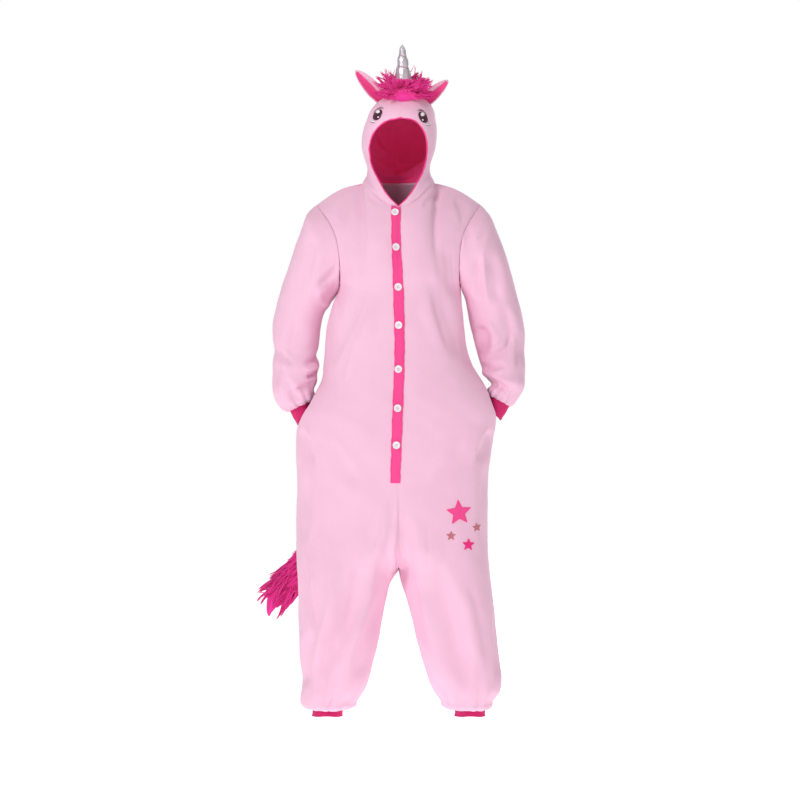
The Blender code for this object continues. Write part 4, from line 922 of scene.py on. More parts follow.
SLEEVE_CREASES = {
    "right": (
        ("front", 11, 7.0, (341, 280), (331, 291), (321, 303)),
        ("front", 9, 5.0, (338, 262), (327, 276), (314, 286)),
        ("front", 7, 6.5, (291, 390), (304, 385), (317, 378)),
        ("front", 6, 7.5, (305, 379), (313, 374), (322, 370)),
        ("front", 8, 4.0, (274, 347), (282, 356), (292, 363)),
        ("front", 17, 4.5, (297, 312), (290, 344), (289, 372)),
        ("front", 19, 4.5, (318, 226), (307, 262), (299, 300)),
        ("front", 9, -3.0, (300, 372), (310, 368), (320, 362)),
        ("front", 10, 4.0, (282, 374), (291, 391), (301, 402)),
        ("front", 11, 5.5, (323, 346), (313, 358), (301, 364)),
        ("front", 12, -3.0, (331, 212), (336, 226), (337, 246)),
        ("back", 12, 7.0, (338, 268), (324, 284), (308, 292)),
        ("back", 15, 6.0, (318, 300), (304, 320), (286, 330)),
        ("back", 10, 6.5, (322, 346), (306, 352), (286, 350)),
        ("back", 8, 6.0, (318, 366), (302, 371), (284, 368)),
        ("back", 8, 5.5, (312, 384), (298, 388), (284, 384)),
        ("back", 18, 5.0, (322, 224), (308, 258), (304, 290)),
    ),
    "left": (
        ("front", 11, 7.5, (480, 250), (479, 278), (485, 302)),
        ("front", 12, 12.0, (474, 324), (483, 334), (484, 345), (479, 358)),
        ("front", 8, 5.5, (481, 360), (495, 353), (506, 346), (515, 332)),
        ("front", 8, 5.5, (478, 364), (492, 368), (509, 365)),
        ("front", 12, -3.5, (489, 214), (479, 230), (473, 246)),
        ("front", 9, 4.5, (462, 222), (468, 236), (466, 256)),
        ("front", 14, 4.5, (504, 300), (512, 328), (515, 352)),
        ("front", 8, 5.0, (485, 378), (498, 386), (511, 389)),
        ("front", 18, 5.5, (492, 246), (497, 278), (500, 308)),
        ("front", 10, 3.5, (519, 328), (521, 350), (518, 372)),
        ("front", 10, -3.5, (488, 318), (494, 332), (492, 346)),
        ("back", 12, 7.0, (462, 268), (476, 284), (492, 294)),
        ("back", 15, 6.5, (480, 298), (494, 318), (512, 330)),
        ("back", 10, 7.0, (478, 338), (494, 350), (514, 352)),
        ("back", 8, 6.0, (480, 364), (496, 371), (514, 368)),
        ("back", 8, 5.0, (486, 382), (500, 386), (514, 382)),
        ("back", 18, 5.0, (476, 222), (490, 256), (496, 290)),
    ),
}
HOOD_CREASES = (
    ("front", 7, 3.0, (364, 166), (367, 176), (374, 188)),
    ("front", 6, 2.5, (443, 168), (437, 178), (430, 189)),
    ("front", 9, 3.0, (362, 142), (365, 152), (366, 164)),
    ("back", 9, 4.5, (368, 158), (396, 170), (426, 158)),
    ("back", 8, 3.5, (362, 144), (380, 156), (398, 158)),
    ("back", 8, 3.5, (438, 146), (424, 156), (408, 160)),
    ("back", 10, 3.0, (370, 120), (376, 136), (388, 146)),
)


def seen(place):
    """x and z of a place in the photograph, on the front of the garment."""
    return (place[0] - MIDDLE_PIXEL) * NEARER, SIGHT_LEVEL + (SIGHT_PIXEL - place[1]) * NEARER


def crease_depths(cloth, creases):
    """How far the creases draw each point of a cloth in."""
    x, z = cloth.points[..., 0], cloth.points[..., 2]
    total = np.zeros(x.shape)
    for number, (face, width, depth, *places) in enumerate(creases):
        line = np.array([seen(place) for place in places])
        line = spline(line, np.linspace(0.0, len(line) - 1.0, 28))
        facing = cloth.out[..., 1] * (-1.0 if face == "front" else 1.0)
        near = np.clip((facing + 0.05) / 0.45, 0.0, 1.0)
        reach = 4 * width / 1000
        low, high = line.min(axis=0) - reach, line.max(axis=0) + reach
        close = (near > 0) & (x > low[0]) & (x < high[0]) & (z > low[1]) & (z < high[1])
        if not close.any():
            continue
        px, pz = x[close], z[close]
        best = np.full(px.shape, 1e9)
        side = np.zeros(px.shape)
        along = np.zeros(px.shape)
        for i, (start, end) in enumerate(zip(line, line[1:])):
            step = end - start
            length = math.hypot(*step)
            t = np.clip(((px - start[0]) * step[0] + (pz - start[1]) * step[1]) / length**2, 0.0, 1.0)
            gap_x = px - start[0] - t * step[0]
            gap_z = pz - start[1] - t * step[1]
            gap = np.hypot(gap_x, gap_z)
            closer = gap < best
            best = np.where(closer, gap, best)
            side = np.where(closer, np.sign(step[0] * gap_z - step[1] * gap_x), side)
            along = np.where(closer, (i + t) / (len(line) - 1), along)
        swell = 0.55 + 0.75 * np.sin(math.pi * np.clip(along * 0.9 + 0.08, 0, 1))
        steep = 0.30 if number % 2 else -0.30
        s = best / (width / 1000 * swell * (1 + steep * side))
        form = np.exp(-s * s) - 0.34 * np.exp(-((s - 1.75) ** 2) * 1.3)
        ends = np.clip(np.minimum(along, 1 - along) / 0.28, 0.0, 1.0)
        total[close] += depth / 1000 * form * soften(ends) * near[close]
    return total * CREASE_DEPTH


def ripple(cloth, size, phase):
    """The cloth's slow unevenness, the same at common points of neighbours."""
    x, y, z = np.moveaxis(cloth.points, -1, 0)
    wave = np.sin(31 * x + 17 * y + 23 * z + phase) * np.sin(13 * x - 29 * y + 19 * z + 2 * phase)
    wave += 0.6 * np.sin(57 * x + 41 * z + 3 * phase) * np.sin(47 * y + 61 * z + phase)
    return size * wave


def seam_dip(cloth):
    return SEAM_DIP * np.exp(-((cloth.seam / SEAM_REACH) ** 2))


def gathers(turn, count, phase):
    """Uneven folds round a hem, from -1 to 1. turn goes from 0 to 1 round it."""
    shift = 0.9 * np.sin(2 * math.pi * (turn * 3 + phase)) + 0.5 * np.sin(2 * math.pi * (turn * 7 + phase))
    wave = np.sin(2 * math.pi * count * turn + shift)
    strength = 0.75 + 0.25 * np.sin(2 * math.pi * (turn * 5 + 0.3 + phase))
    return (wave + 0.35 * np.abs(wave)) * strength


# Finishes

# Slot: colour, roughness, sheen, share by which the colour varies, and grain: scale, strength, height
FINISHES = {
    "fleece_pink": ((0.885, 0.530, 0.690), 0.93, 0.45, 0.035, ((1100, 0.55, 0.0005), (260, 0.35, 0.0007))),
    "fleece_hot_pink": ((0.960, 0.075, 0.300), 0.90, 0.25, 0.06, ((1100, 0.55, 0.0005), (260, 0.30, 0.0006))),
    "fur_magenta": ((0.960, 0.040, 0.330), 0.66, 0.30, 0.16, ((420, 0.30, 0.0003),)),
    "rib_magenta": ((0.640, 0.022, 0.150), 0.92, 0.25, 0.10, ((1400, 0.60, 0.0004),)),
    "felt_rose": ((0.560, 0.180, 0.215), 0.95, 0.20, 0.08, ((1500, 0.50, 0.0003),)),
    "felt_magenta": ((0.880, 0.030, 0.235), 0.95, 0.20, 0.06, ((1500, 0.50, 0.0003),)),
    "horn_silver": ((0.720, 0.680, 0.735), 0.36, 0.0, 0.10, ((1300, 0.55, 0.0004), (240, 0.30, 0.0008))),
    "eye_dark": ((0.070, 0.010, 0.032), 0.30, 0.0, 0.10, ((1500, 0.30, 0.0002),)),
    "button_white": ((0.860, 0.820, 0.880), 0.26, 0.0, 0.03, ((60, 0.05, 0.0002),)),
    "thread_pink": ((0.930, 0.120, 0.350), 0.70, 0.1, 0.05, ((2500, 0.40, 0.0001),)),
    "eye_white": ((0.900, 0.900, 0.910), 0.50, 0.0, 0.03, ((1500, 0.30, 0.0002),)),
}
METAL = {"horn_silver": 0.55}
COAT = {"eye_dark": 0.6, "button_white": 0.25}
made_finishes = {}


def finish(name):
    """A cloth, fur or plastic finish, made once for each name."""
    if name in made_finishes:
        return made_finishes[name]
    colour, rough, sheen, vary, grains = FINISHES[name]
    material = bpy.data.materials.new("look_" + name)
    material.use_nodes = True
    nodes, links = material.node_tree.nodes, material.node_tree.links
    shader = nodes["Principled BSDF"]
    shader.inputs["Roughness"].default_value = rough
    shader.inputs["Sheen Weight"].default_value = sheen
    shader.inputs["Sheen Roughness"].default_value = 0.55
    shader.inputs["Sheen Tint"].default_value = (*[0.5 + 0.5 * c for c in colour], 1.0)
    shader.inputs["Metallic"].default_value = METAL.get(name, 0.0)
    shader.inputs["Coat Weight"].default_value = COAT.get(name, 0.0)
    shader.inputs["Specular IOR Level"].default_value = 0.5 if rough < 0.5 else 0.15
    coordinates = nodes.new("ShaderNodeTexCoord").outputs["Object"]

    def noise_of(scale, detail):
        texture = nodes.new("ShaderNodeTexNoise")
        texture.inputs["Scale"].default_value = scale
        texture.inputs["Detail"].default_value = detail
        links.new(coordinates, texture.inputs["Vector"])
        return texture.outputs["Fac"]

    mix = nodes.new("ShaderNodeMix")
    mix.data_type = "RGBA"
    blotch = nodes.new("ShaderNodeMath")
    blotch.operation = "ADD"
    fleck = nodes.new("ShaderNodeMath")
    fleck.operation = "MULTIPLY_ADD"
    links.new(noise_of(grains[0][0] * 0.4, 2.0), fleck.inputs[0])
    fleck.inputs[1].default_value = 0.6
    fleck.inputs[2].default_value = -0.3
    links.new(noise_of(11.0, 3.0), blotch.inputs[0])
    links.new(fleck.outputs[0], blotch.inputs[1])
    links.new(blotch.outputs[0], mix.inputs["Factor"])
    mix.inputs["A"].default_value = (*[c * (1 - 1.6 * vary) for c in colour], 1.0)
    mix.inputs["B"].default_value = (*[min(c * (1 + 1.6 * vary), 1.0) for c in colour], 1.0)
    links.new(mix.outputs["Result"], shader.inputs["Base Color"])
    last = None
    for scale, strength, height in grains:
        bump = nodes.new("ShaderNodeBump")
        bump.inputs["Strength"].default_value = strength
        bump.inputs["Distance"].default_value = height
        links.new(noise_of(scale, 3.0), bump.inputs["Height"])
        if last:
            links.new(last.outputs["Normal"], bump.inputs["Normal"])
        last = bump
    links.new(last.outputs["Normal"], shader.inputs["Normal"])
    made_finishes[name] = material
    return material


# Pieces

BODY = "root"
looks = bpy.data.collections.new("looks")
bpy.context.scene.collection.children.link(looks)


def ring_faces(at):
    """Quads between rings of points, each ring a row of their numbers."""
    turned = np.roll(at, -1, axis=-1)
    quads = np.stack([at[..., :-1, :], turned[..., :-1, :], turned[..., 1:, :], at[..., 1:, :]], axis=-1)
    return [tuple(face) for face in quads.reshape(-1, 4).tolist()]


def mesh_object(name, points, faces, look, smooth_angle=50.0):
    mesh = bpy.data.meshes.new(name)
    mesh.from_pydata(np.asarray(points).tolist(), [], [list(map(int, face)) for face in faces])
    mesh.validate()
    mesh.shade_smooth()
    mesh.set_sharp_from_angle(angle=math.radians(smooth_angle))
    mesh.materials.append(finish(look))
    piece = bpy.data.objects.new(name, mesh)
    looks.objects.link(piece)
    return piece


def placed(piece, slot, *nodes):
    """The piece rides on the body and stands for its CAD nodes, which it hides. Its slot is not used."""
    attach(piece, BODY)
    if nodes:
        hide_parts(*nodes)
    return piece


def joined(parts):
    """Several meshes, each points and faces, as one."""
    points, faces, count = [], [], 0
    for some, their in parts:
        points.append(np.asarray(some, float).reshape(-1, 3))
        faces += [tuple(int(v) + count for v in face) for face in their]
        count += len(points[-1])
    return np.concatenate(points), faces


# Body, sleeves and hood

HEM_GATHERS = 7  # folds across each half of a leg hem
HEM_DEPTH = 0.0040
WRIST_GATHERS = 13  # folds round a sleeve hem
WRIST_DEPTH = 0.0034
EDGE_CLEAR = 0.025  # creases fade out this close to an armhole or a neckline
START_CLEAR = 0.02  # the same at the first row of a sleeve or the hood
LEG_CLEAR = 0.02  # and at the last row of a leg
WRIST_CLEAR = 0.016  # and of a sleeve
RIPPLE = 0.0009
RIPPLE_CLEAR = 0.03


def hem_share(z):
    """How strongly the leg is gathered at a level."""
    return np.clip((-1.385 - z) / 0.075, 0.0, 1.0) ** 1.6


EASE_LEVELS = (-0.80, -0.95, -1.16, -1.32)  # where the softening starts, is full, and ends
EASE_REACH = 0.042


def eased(grid):
    """The cloth softened up and down where the legs part, but not at the inner seam."""
    z = grid[:, -1, 2]
    near = np.exp(-(((z[:, None] - z[None, :]) / EASE_REACH) ** 2))
    width = np.abs(np.gradient(z))
    near *= width[None, :]
    near /= near.sum(axis=1, keepdims=True)
    soft = np.einsum("ij,jkc->ikc", near, grid[..., :2])
    start, full, last, end = EASE_LEVELS
    share = np.clip((start - z) / (start - full), 0, 1) * np.clip((z - end) / (last - end), 0, 1)
    across = np.linalg.norm(grid[..., :2] - grid[:, :1, :2], axis=2)
    inner = np.clip(across / 0.05, 0, 1)
    outer = np.linalg.norm(grid[..., :2] - grid[:, -1:, :2], axis=2)
    weight = soften(share)[:, None] * soften(inner) * np.clip(outer / 0.04, 0, 1)
    grid[..., :2] += (soft - grid[..., :2]) * weight[..., None]
    return grid


def body_cloth(side, face):
    return Cloth(eased(finer(body_panel(side, face), high=False)), False, 0.0)


def gather_leg(cloth, side, face):
    rows, columns = cloth.points.shape[:2]
    turn = np.linspace(0.0, 1.0, columns)[None, :] * np.ones((rows, 1))
    phase = 0.17 + 0.31 * (side == "right") + 0.45 * (face == "back")
    wave = gathers(turn, HEM_GATHERS, phase) * np.sin(math.pi * turn) ** 0.3
    close_in = np.clip((cloth.points[..., 2] + 1.4925) / 0.010, 0.25, 1.0)
    last_row = np.clip(cloth.from_end / 0.018, 0.0, 1.0)
    return HEM_DEPTH * wave * hem_share(cloth.points[..., 2]) * close_in * last_row


def gather_sleeve(cloth, side):
    rows, columns = cloth.points.shape[:2]
    turn = np.linspace(0.0, 1.0, columns, endpoint=False)[None, :] * np.ones((rows, 1))
    wave = gathers(turn, WRIST_GATHERS, 0.2 + 0.4 * (side == "right"))
    near = np.clip((0.105 - cloth.from_end) / 0.085, 0.0, 1.0) ** 1.4
    last_row = np.clip(cloth.from_end / 0.014, 0.0, 1.0)
    return WRIST_DEPTH * wave * near * last_row


def clear_of(cloth, line, reach):
    """0 on a line of points, 1 from reach away."""
    far = np.full(cloth.points.shape[:2], 1e9)
    for point in line:
        far = np.minimum(far, np.linalg.norm(cloth.points - point, axis=2))
    return np.clip(far / reach, 0.0, 1.0)


def body_edges(cloth):
    """The armhole and the neckline of a body piece, where it meets the sleeve and the hood."""
    underarm = int(np.argmin(np.abs(cloth.points[:, -1, 2] - TORSO_LEVELS[0])))
    neck = int(np.argmin(np.abs(np.abs(cloth.points[0, :, 0]) - NECK_POINT.x)))
    return np.concatenate([cloth.points[: underarm + 1, -1], cloth.points[0, : neck + 1]])


SIDES = ("right", "left")
bodies = {(side, face): body_cloth(side, face) for side in SIDES for face in ("front", "back")}
sleeves = {}
hoods = {}
for side in SIDES:
    sleeves[side] = Cloth(finer(sleeve(side), True, high=False), True, SLEEVE_SEAM)
    hoods[side] = Cloth(finer(hood_half(side), high=False), False, HOOD_SEAM)
    hoods[side].out[-1] = (0.0, 0.0, 1.0)
every = list(bodies.values()) + list(sleeves.values()) + list(hoods.values())
share_directions(every)
for cloth in every:
    cloth.from_start = distances(cloth.points)
    cloth.from_end = cloth.from_start[-1] - cloth.from_start
for (side, face), cloth in bodies.items():
    depth = crease_depths(cloth, BODY_CREASES) * clear_of(cloth, body_edges(cloth), EDGE_CLEAR)
    depth += gather_leg(cloth, side, face)
    depth *= np.clip(cloth.from_end / LEG_CLEAR, 0.0, 1.0)
    cloth.depth = depth + seam_dip(cloth)
for side, cloth in sleeves.items():
    depth = crease_depths(cloth, SLEEVE_CREASES[side]) * np.clip(cloth.from_start / START_CLEAR, 0.0, 1.0)
    depth += gather_sleeve(cloth, side)
    cloth.depth = depth * np.clip(cloth.from_end / WRIST_CLEAR, 0.0, 1.0) + seam_dip(cloth)
for cloth in hoods.values():
    creases = crease_depths(cloth, HOOD_CREASES) * np.clip(cloth.from_start / START_CLEAR, 0.0, 1.0)
    cloth.depth = creases + seam_dip(cloth)
for cloth in every:
    fading = np.clip(cloth.from_end / RIPPLE_CLEAR, 0.0, 1.0)
    cloth.move(cloth.depth + ripple(cloth, RIPPLE, 0.4) * fading)


def cloth_piece(cloth, node):
    """The finished wall of one cut piece, which stands for its CAD node."""
    shape = shell(cloth.drawn_back(), cloth.out, FLEECE, cloth.wraps, cloth.flip)
    placed(mesh_object("cloth_" + node, *shape, "fleece_pink"), "fleece_pink", node)


for (side, face), cloth in bodies.items():
    cloth_piece(cloth, f"{face}_{side}")
for side in SIDES:
    cloth_piece(sleeves[side], "sleeve_" + side)
    cloth_piece(hoods[side], "hood_" + side)


# What lies on the cloth


class Skin:
    """The outer side of some cloths, to lay things on."""

    def __init__(self, cloths):
        points, normals, corners, count = [], [], [], 0
        for cloth in cloths:
            rows, columns = cloth.points.shape[:2]
            out = grid_normals(cloth.points, cloth.wraps) * (-1 if cloth.flip else 1)
            at = np.arange(rows * columns).reshape(rows, columns) + count
            right = np.roll(at, -1, axis=1)
            last = columns if cloth.wraps else columns - 1
            a, b, c, d = (g[:, :last].ravel() for g in (at[:-1], at[1:], right[1:], right[:-1]))
            corners += [np.stack([a, b, c], axis=1), np.stack([a, c, d], axis=1)]
            points.append(cloth.points.reshape(-1, 3))
            normals.append(out.reshape(-1, 3))
            count += rows * columns
        self.points = np.concatenate(points)
        self.normals = np.concatenate(normals)
        self.corners = np.concatenate(corners)
        self.tree = BVHTree.FromPolygons(self.points.tolist(), self.corners.tolist())

    def smooth_normal(self, place, index):
        three = self.corners[index]
        a, b, c = self.points[three]
        area = np.cross(b - a, c - a)
        size = max(area.dot(area), 1e-20)
        v = np.cross(place - a, c - a).dot(area) / size
        w = np.cross(b - a, place - a).dot(area) / size
        first, second, third = self.normals[three]
        normal = first * (1 - v - w) + second * v + third * w
        return normal / max(np.linalg.norm(normal), 1e-9)

    def front(self, x, z):
        """The foremost point at x and z, and the direction out of the cloth there."""
        place, _, index, _ = self.tree.ray_cast(Vector((x, -1.0, z)), Vector((0.0, 1.0, 0.0)))
        if place is None:
            place, _, index, _ = self.tree.find_nearest(Vector((x, -0.14, z)))
        place = np.array(place)
        return place, self.smooth_normal(place, index)

    def nearest(self, point):
        place, _, index, _ = self.tree.find_nearest(Vector(point))
        place = np.array(place)
        return place, self.smooth_normal(place, index)


def patch(skin, places, bottom, top, wraps=False):
    """A closed piece that lies on the cloth: places are a grid of x and z."""
    rows, columns = places.shape[:2]
    points, out = np.empty((rows, columns, 3)), np.empty((rows, columns, 3))
    for i in range(rows):
        for k in range(columns):
            points[i, k], out[i, k] = skin.front(*places[i, k])
    top = np.broadcast_to(np.asarray(top, float), (rows, columns))[..., None]
    flip = bool((grid_normals(points, wraps) * out).sum() < 0)
    return shell(points, out, top - bottom, wraps, flip, top)


def tubes(paths, radii, sides, flat=1.0):
    """Closed tubes along paths of the same count of points. flat squeezes them one way."""
    paths, radii = np.asarray(paths, float), np.asarray(radii, float)
    number, count = paths.shape[:2]
    along = np.gradient(paths, axis=1)
    along /= np.maximum(np.linalg.norm(along, axis=2, keepdims=True), 1e-12)
    away = np.where(np.abs(along[:, :1, 2:]) < 0.9, [[[0.0, 0.0, 1.0]]], [[[1.0, 0.0, 0.0]]])
    first = np.cross(along, np.broadcast_to(away, along.shape))
    first /= np.maximum(np.linalg.norm(first, axis=2, keepdims=True), 1e-12)
    second = np.cross(along, first)
    turns = np.linspace(0, 2 * math.pi, sides, endpoint=False)
    ring = first[:, :, None] * np.cos(turns)[:, None]
    ring = ring + second[:, :, None] * np.sin(turns)[:, None] * flat
    points = paths[:, :, None] + ring * radii[:, :, None, None]
    at = np.arange(number * count * sides).reshape(number, count, sides)
    faces = ring_faces(at)
    faces += [tuple(face[::-1]) for face in at[:, 0].tolist()]
    faces += [tuple(face) for face in at[:, -1].tolist()]
    return points.reshape(-1, 3), faces


def stitches(line, normals, length, gap, radius, sides=6):
    """A row of thread stitches along a line that lies on cloth."""
    line, normals = np.asarray(line), np.asarray(normals)
    along = distances(line)
    starts = np.arange(gap / 2, along[-1] - length, length + gap)
    shares = np.array([0.0, 0.12, 0.5, 0.88, 1.0])
    lifts = np.array([-0.6, 0.35, 0.6, 0.35, -0.6]) * radius
    thick = np.array([0.45, 0.9, 1.0, 0.9, 0.45]) * radius
    wanted = starts[:, None] + shares * length
    paths, out = points_at(line, along, wanted), points_at(normals, along, wanted)
    return tubes(paths + out * lifts[None, :, None], np.broadcast_to(thick, wanted.shape), sides)


# Button band

BAND_STEP = 0.0028
BAND_EDGE = 0.0035  # from the edge to the stitching
STITCH = (0.0030, 0.0012, 0.00032)  # length, gap, thickness of the thread's half
SCALLOP = 0.0006  # the band's edges waver by this
FLY_BOX = 0.0175  # height of the sewn box at the foot of the band
BAND_INSETS = (0.0, 0.0006, 0.0016, 0.0028, 0.0035, 0.0042, 0.0060, 0.0090)
BAND_RISES = (0.62, 0.90, 1.0, 0.94, 0.72, 0.94, 1.06, 1.12, 1.14)  # shares of its thickness

body_skin = Skin([bodies[side, "front"] for side in SIDES])


def band_edges(z):
    low, high = read(BAND, "low", "z", z), read(BAND, "high", "z", z)
    low += SCALLOP * (math.sin(z * 97.0) + 0.6 * math.sin(z * 231.0 + 1.0))
    high += SCALLOP * (math.sin(z * 83.0 + 2.0) + 0.6 * math.sin(z * 251.0))
    return low, high


def band_grid(levels, insets):
    places = []
    for z in levels:
        low, high = band_edges(z)
        left = [(low + inset, z) for inset in insets]
        right = [(high - inset, z) for inset in insets[::-1]]
        places.append(left + [((low + high) / 2, z)] + right)
    return np.array(places)


def build_band():
    top = np.array(BAND_RISES + BAND_RISES[:-1][::-1]) * (LIFT + BAND_CLOTH)
    z_top, z_low = BAND["z"][0], BAND["z"][-1]
    between = np.arange(z_top - BAND_STEP, z_low + BAND_STEP, -BAND_STEP)
    levels = np.concatenate([[z_top, z_top - 0.0008], between, [z_low + 0.0008, z_low]])
    places = band_grid(levels, BAND_INSETS)
    tops = np.broadcast_to(top, places.shape[:2]).copy()
    tops[[0, -1]] *= 0.66
    tops[[1, -2]] *= 0.92
    tops *= 1 + 0.10 * np.sin(levels * 143.0)[:, None] * np.linspace(0.2, 1.0, places.shape[1])
    shape = patch(body_skin, places, LIFT, tops)
    placed(mesh_object("band", *shape, "fleece_hot_pink"), "fleece_hot_pink", "placket")
    sewing = []
    rise = LIFT + BAND_CLOTH * 0.86
    fine = np.arange(z_top - 0.004, z_low + 0.003, -0.0015)
    lines = []
    for inset, side in ((BAND_EDGE, 0), (-BAND_EDGE, 1)):
        lines.append([(band_edges(z)[side] + inset, z) for z in fine])
    for z in (z_low + 0.003, z_low + 0.003 + FLY_BOX):
        low, high = band_edges(z)
        lines.append([(x, z) for x in np.linspace(low + BAND_EDGE, high - BAND_EDGE, 20)])
    for line in lines:
        places = [body_skin.front(x, z) for x, z in line]
        points = [point + normal * rise for point, normal in places]
        sewing.append(stitches(points, [normal for _, normal in places], *STITCH))
    placed(mesh_object("band_stitches", *joined(sewing), "thread_pink"), "fleece_hot_pink")


build_band()


# A button's section: shares of its radius and of its height
BUTTON_PROFILE = (
    (0.0, 0.0), (0.80, 0.0), (0.93, 0.08), (1.0, 0.28), (1.0, 0.66), (0.95, 0.88), (0.86, 1.0),
    (0.76, 0.93), (0.70, 0.78), (0.62, 0.70), (0.0, 0.66),
)
HOLE_PLACE = 0.0019  # each of the four holes stands this far from both middle lines
HOLE_RADIUS = 0.0010
THREAD = 0.00033
BUTTON_ANGLE = 35.0  # edges sharper than this stay sharp


def round_button(name, middle, normal, turn):
    """A four-hole button with a raised rim, and the thread through its holes."""
    steps = 40
    points, faces = [], []
    for radius, height in BUTTON_PROFILE:
        for k in range(steps):
            angle = 2 * math.pi * k / steps
            reach = radius * BUTTON_RADIUS
            points.append((reach * math.cos(angle), reach * math.sin(angle), height * BUTTON_HEIGHT))
    for i in range(len(BUTTON_PROFILE) - 1):
        for k in range(steps):
            a, b = i * steps + k, i * steps + (k + 1) % steps
            faces.append((a, b, b + steps, a + steps))
    piece = mesh_object(name, points, faces, "button_white", BUTTON_ANGLE)
    work = bmesh.new()
    work.from_mesh(piece.data)
    bmesh.ops.remove_doubles(work, verts=work.verts, dist=1e-6)
    work.to_mesh(piece.data)
    drills = bmesh.new()
    for dx, dy in ((-1, -1), (-1, 1), (1, -1), (1, 1)):
        place = Matrix.Translation((dx * HOLE_PLACE, dy * HOLE_PLACE, 0.002))
        radii = {"radius1": HOLE_RADIUS, "radius2": HOLE_RADIUS}
        bmesh.ops.create_cone(drills, cap_ends=True, segments=14, depth=0.012, matrix=place, **radii)
    mesh = bpy.data.meshes.new(name + "_drill")
    drills.to_mesh(mesh)
    drill = bpy.data.objects.new(name + "_drill", mesh)
    looks.objects.link(drill)
    cut = piece.modifiers.new("holes", "BOOLEAN")
    cut.operation = "DIFFERENCE"
    cut.object = drill
    cut.solver = "EXACT"
    bpy.context.view_layer.update()
    graph = bpy.context.evaluated_depsgraph_get()
    data = bpy.data.meshes.new_from_object(piece.evaluated_get(graph))
    piece.modifiers.clear()
    piece.data = data
    data.set_sharp_from_angle(angle=math.radians(BUTTON_ANGLE))
    bpy.data.objects.remove(drill)
    work.free()
    drills.free()
    rotation = Vector(normal).to_track_quat("Z", "Y").to_matrix().to_4x4() @ Matrix.Rotation(turn, 4, "Z")
    place = Matrix.Translation(Vector(middle)) @ rotation
    piece.data.transform(place)
    level = BUTTON_HEIGHT * BUTTON_PROFILE[-1][1]
    bow = ((-HOLE_PLACE, -0.0022), (-0.0017, 0.0002), (0.0, 0.0005), (0.0017, 0.0002), (HOLE_PLACE, -0.0022))
    paths = []
    for dy in (-1, 1):
        for shift in (-0.0003, 0.0003):
            paths.append([(x, dy * HOLE_PLACE + shift, level + rise) for x, rise in bow])
    points, faces = tubes(paths, [[THREAD] * len(bow)] * len(paths), 6)
    points = [tuple(place @ Vector(point)) for point in points]
    thread = mesh_object(name + "_thread", points, faces, "thread_pink")
    return piece, thread


BUTTONHOLE = (0.0017, 0.0135)  # half width and half height
BUTTONHOLE_STEPS = 48


def buttonhole(x, z, turn):
    """A stitched oval round the slit under a button."""
    places = []
    for k in range(BUTTONHOLE_STEPS):
        angle = 2 * math.pi * k / BUTTONHOLE_STEPS
        across, up = BUTTONHOLE[0] * math.cos(angle), BUTTONHOLE[1] * math.sin(angle)
        right = across * math.cos(turn) - up * math.sin(turn)
        places.append((x + right, z + across * math.sin(turn) + up * math.cos(turn)))
    spots = [body_skin.front(*place) for place in places]
    path = [point + normal * (LIFT + BAND_CLOTH * 1.08) for point, normal in spots]
    path.append(path[0])
    radii = [0.00062 * (1.0 + 0.16 * (k % 2)) for k in range(len(path))]
    return tubes([path], [radii], 8)


def build_buttons():
    threads, holes = [], []
    rng = random.Random(5)
    for number, (x, z) in enumerate(zip(BUTTONS["x"], BUTTONS["z"]), 1):
        point, normal = body_skin.front(x, z)
        middle = point + normal * (LIFT + BAND_CLOTH + BUTTON_SEAT)
        turn = rng.uniform(-0.5, 0.5)
        piece, thread = round_button(f"sewn_button_{number}", middle, normal, turn)
        placed(piece, "button_white", f"button_{number}")
        placed(thread, "fleece_hot_pink")
        holes.append(buttonhole(x, z, rng.uniform(-0.04, 0.04)))
    placed(mesh_object("buttonholes", *joined(holes), "thread_pink"), "fleece_hot_pink")


build_buttons()


# Stars, eyes, ears, horn, lining, cuffs, pocket bags and underlap

front_left_skin = Skin([bodies["left", "front"]])
hood_skin = Skin([hoods["right"], hoods["left"]])
RINGS = (0.0, 0.22, 0.42, 0.60, 0.74, 0.85, 0.92, 0.97, 1.0)


def flat_piece(skin, middle, edge, thick, bulge=0.0):
    """A thin piece of felt laid on the cloth: edge is its outline in x and z, from its middle."""
    edge = np.asarray(edge)
    places = np.array([[(middle[0] + x * ring, middle[1] + z * ring) for x, z in edge] for ring in RINGS])
    rings = np.array(RINGS)
    top = LIFT + thick * (1 - 0.45 * rings**14) + bulge * (1 - rings**2)
    return patch(skin, places, LIFT, top[:, None], wraps=True)


def outline_stitches(skin, middle, edge, inset, rise, size):
    """Stitches that follow an outline, a little inside it."""
    edge = np.asarray(edge)
    reach = np.linalg.norm(edge, axis=1)
    line = edge * np.maximum(1 - inset / reach, 0.2)[:, None]
    line = np.concatenate([line, line[:1]])
    spots = [skin.front(middle[0] + x, middle[1] + z) for x, z in line]
    return stitches([p + n * rise for p, n in spots], [n for _, n in spots], *size)


STAR_STITCH = (0.0022, 0.0009, 0.00022)
STAR_LOOKS = {
    "star_large": "fleece_hot_pink",
    "star_medium": "felt_magenta",
    "star_small_upper": "felt_rose",
    "star_small_lower": "felt_rose",
}


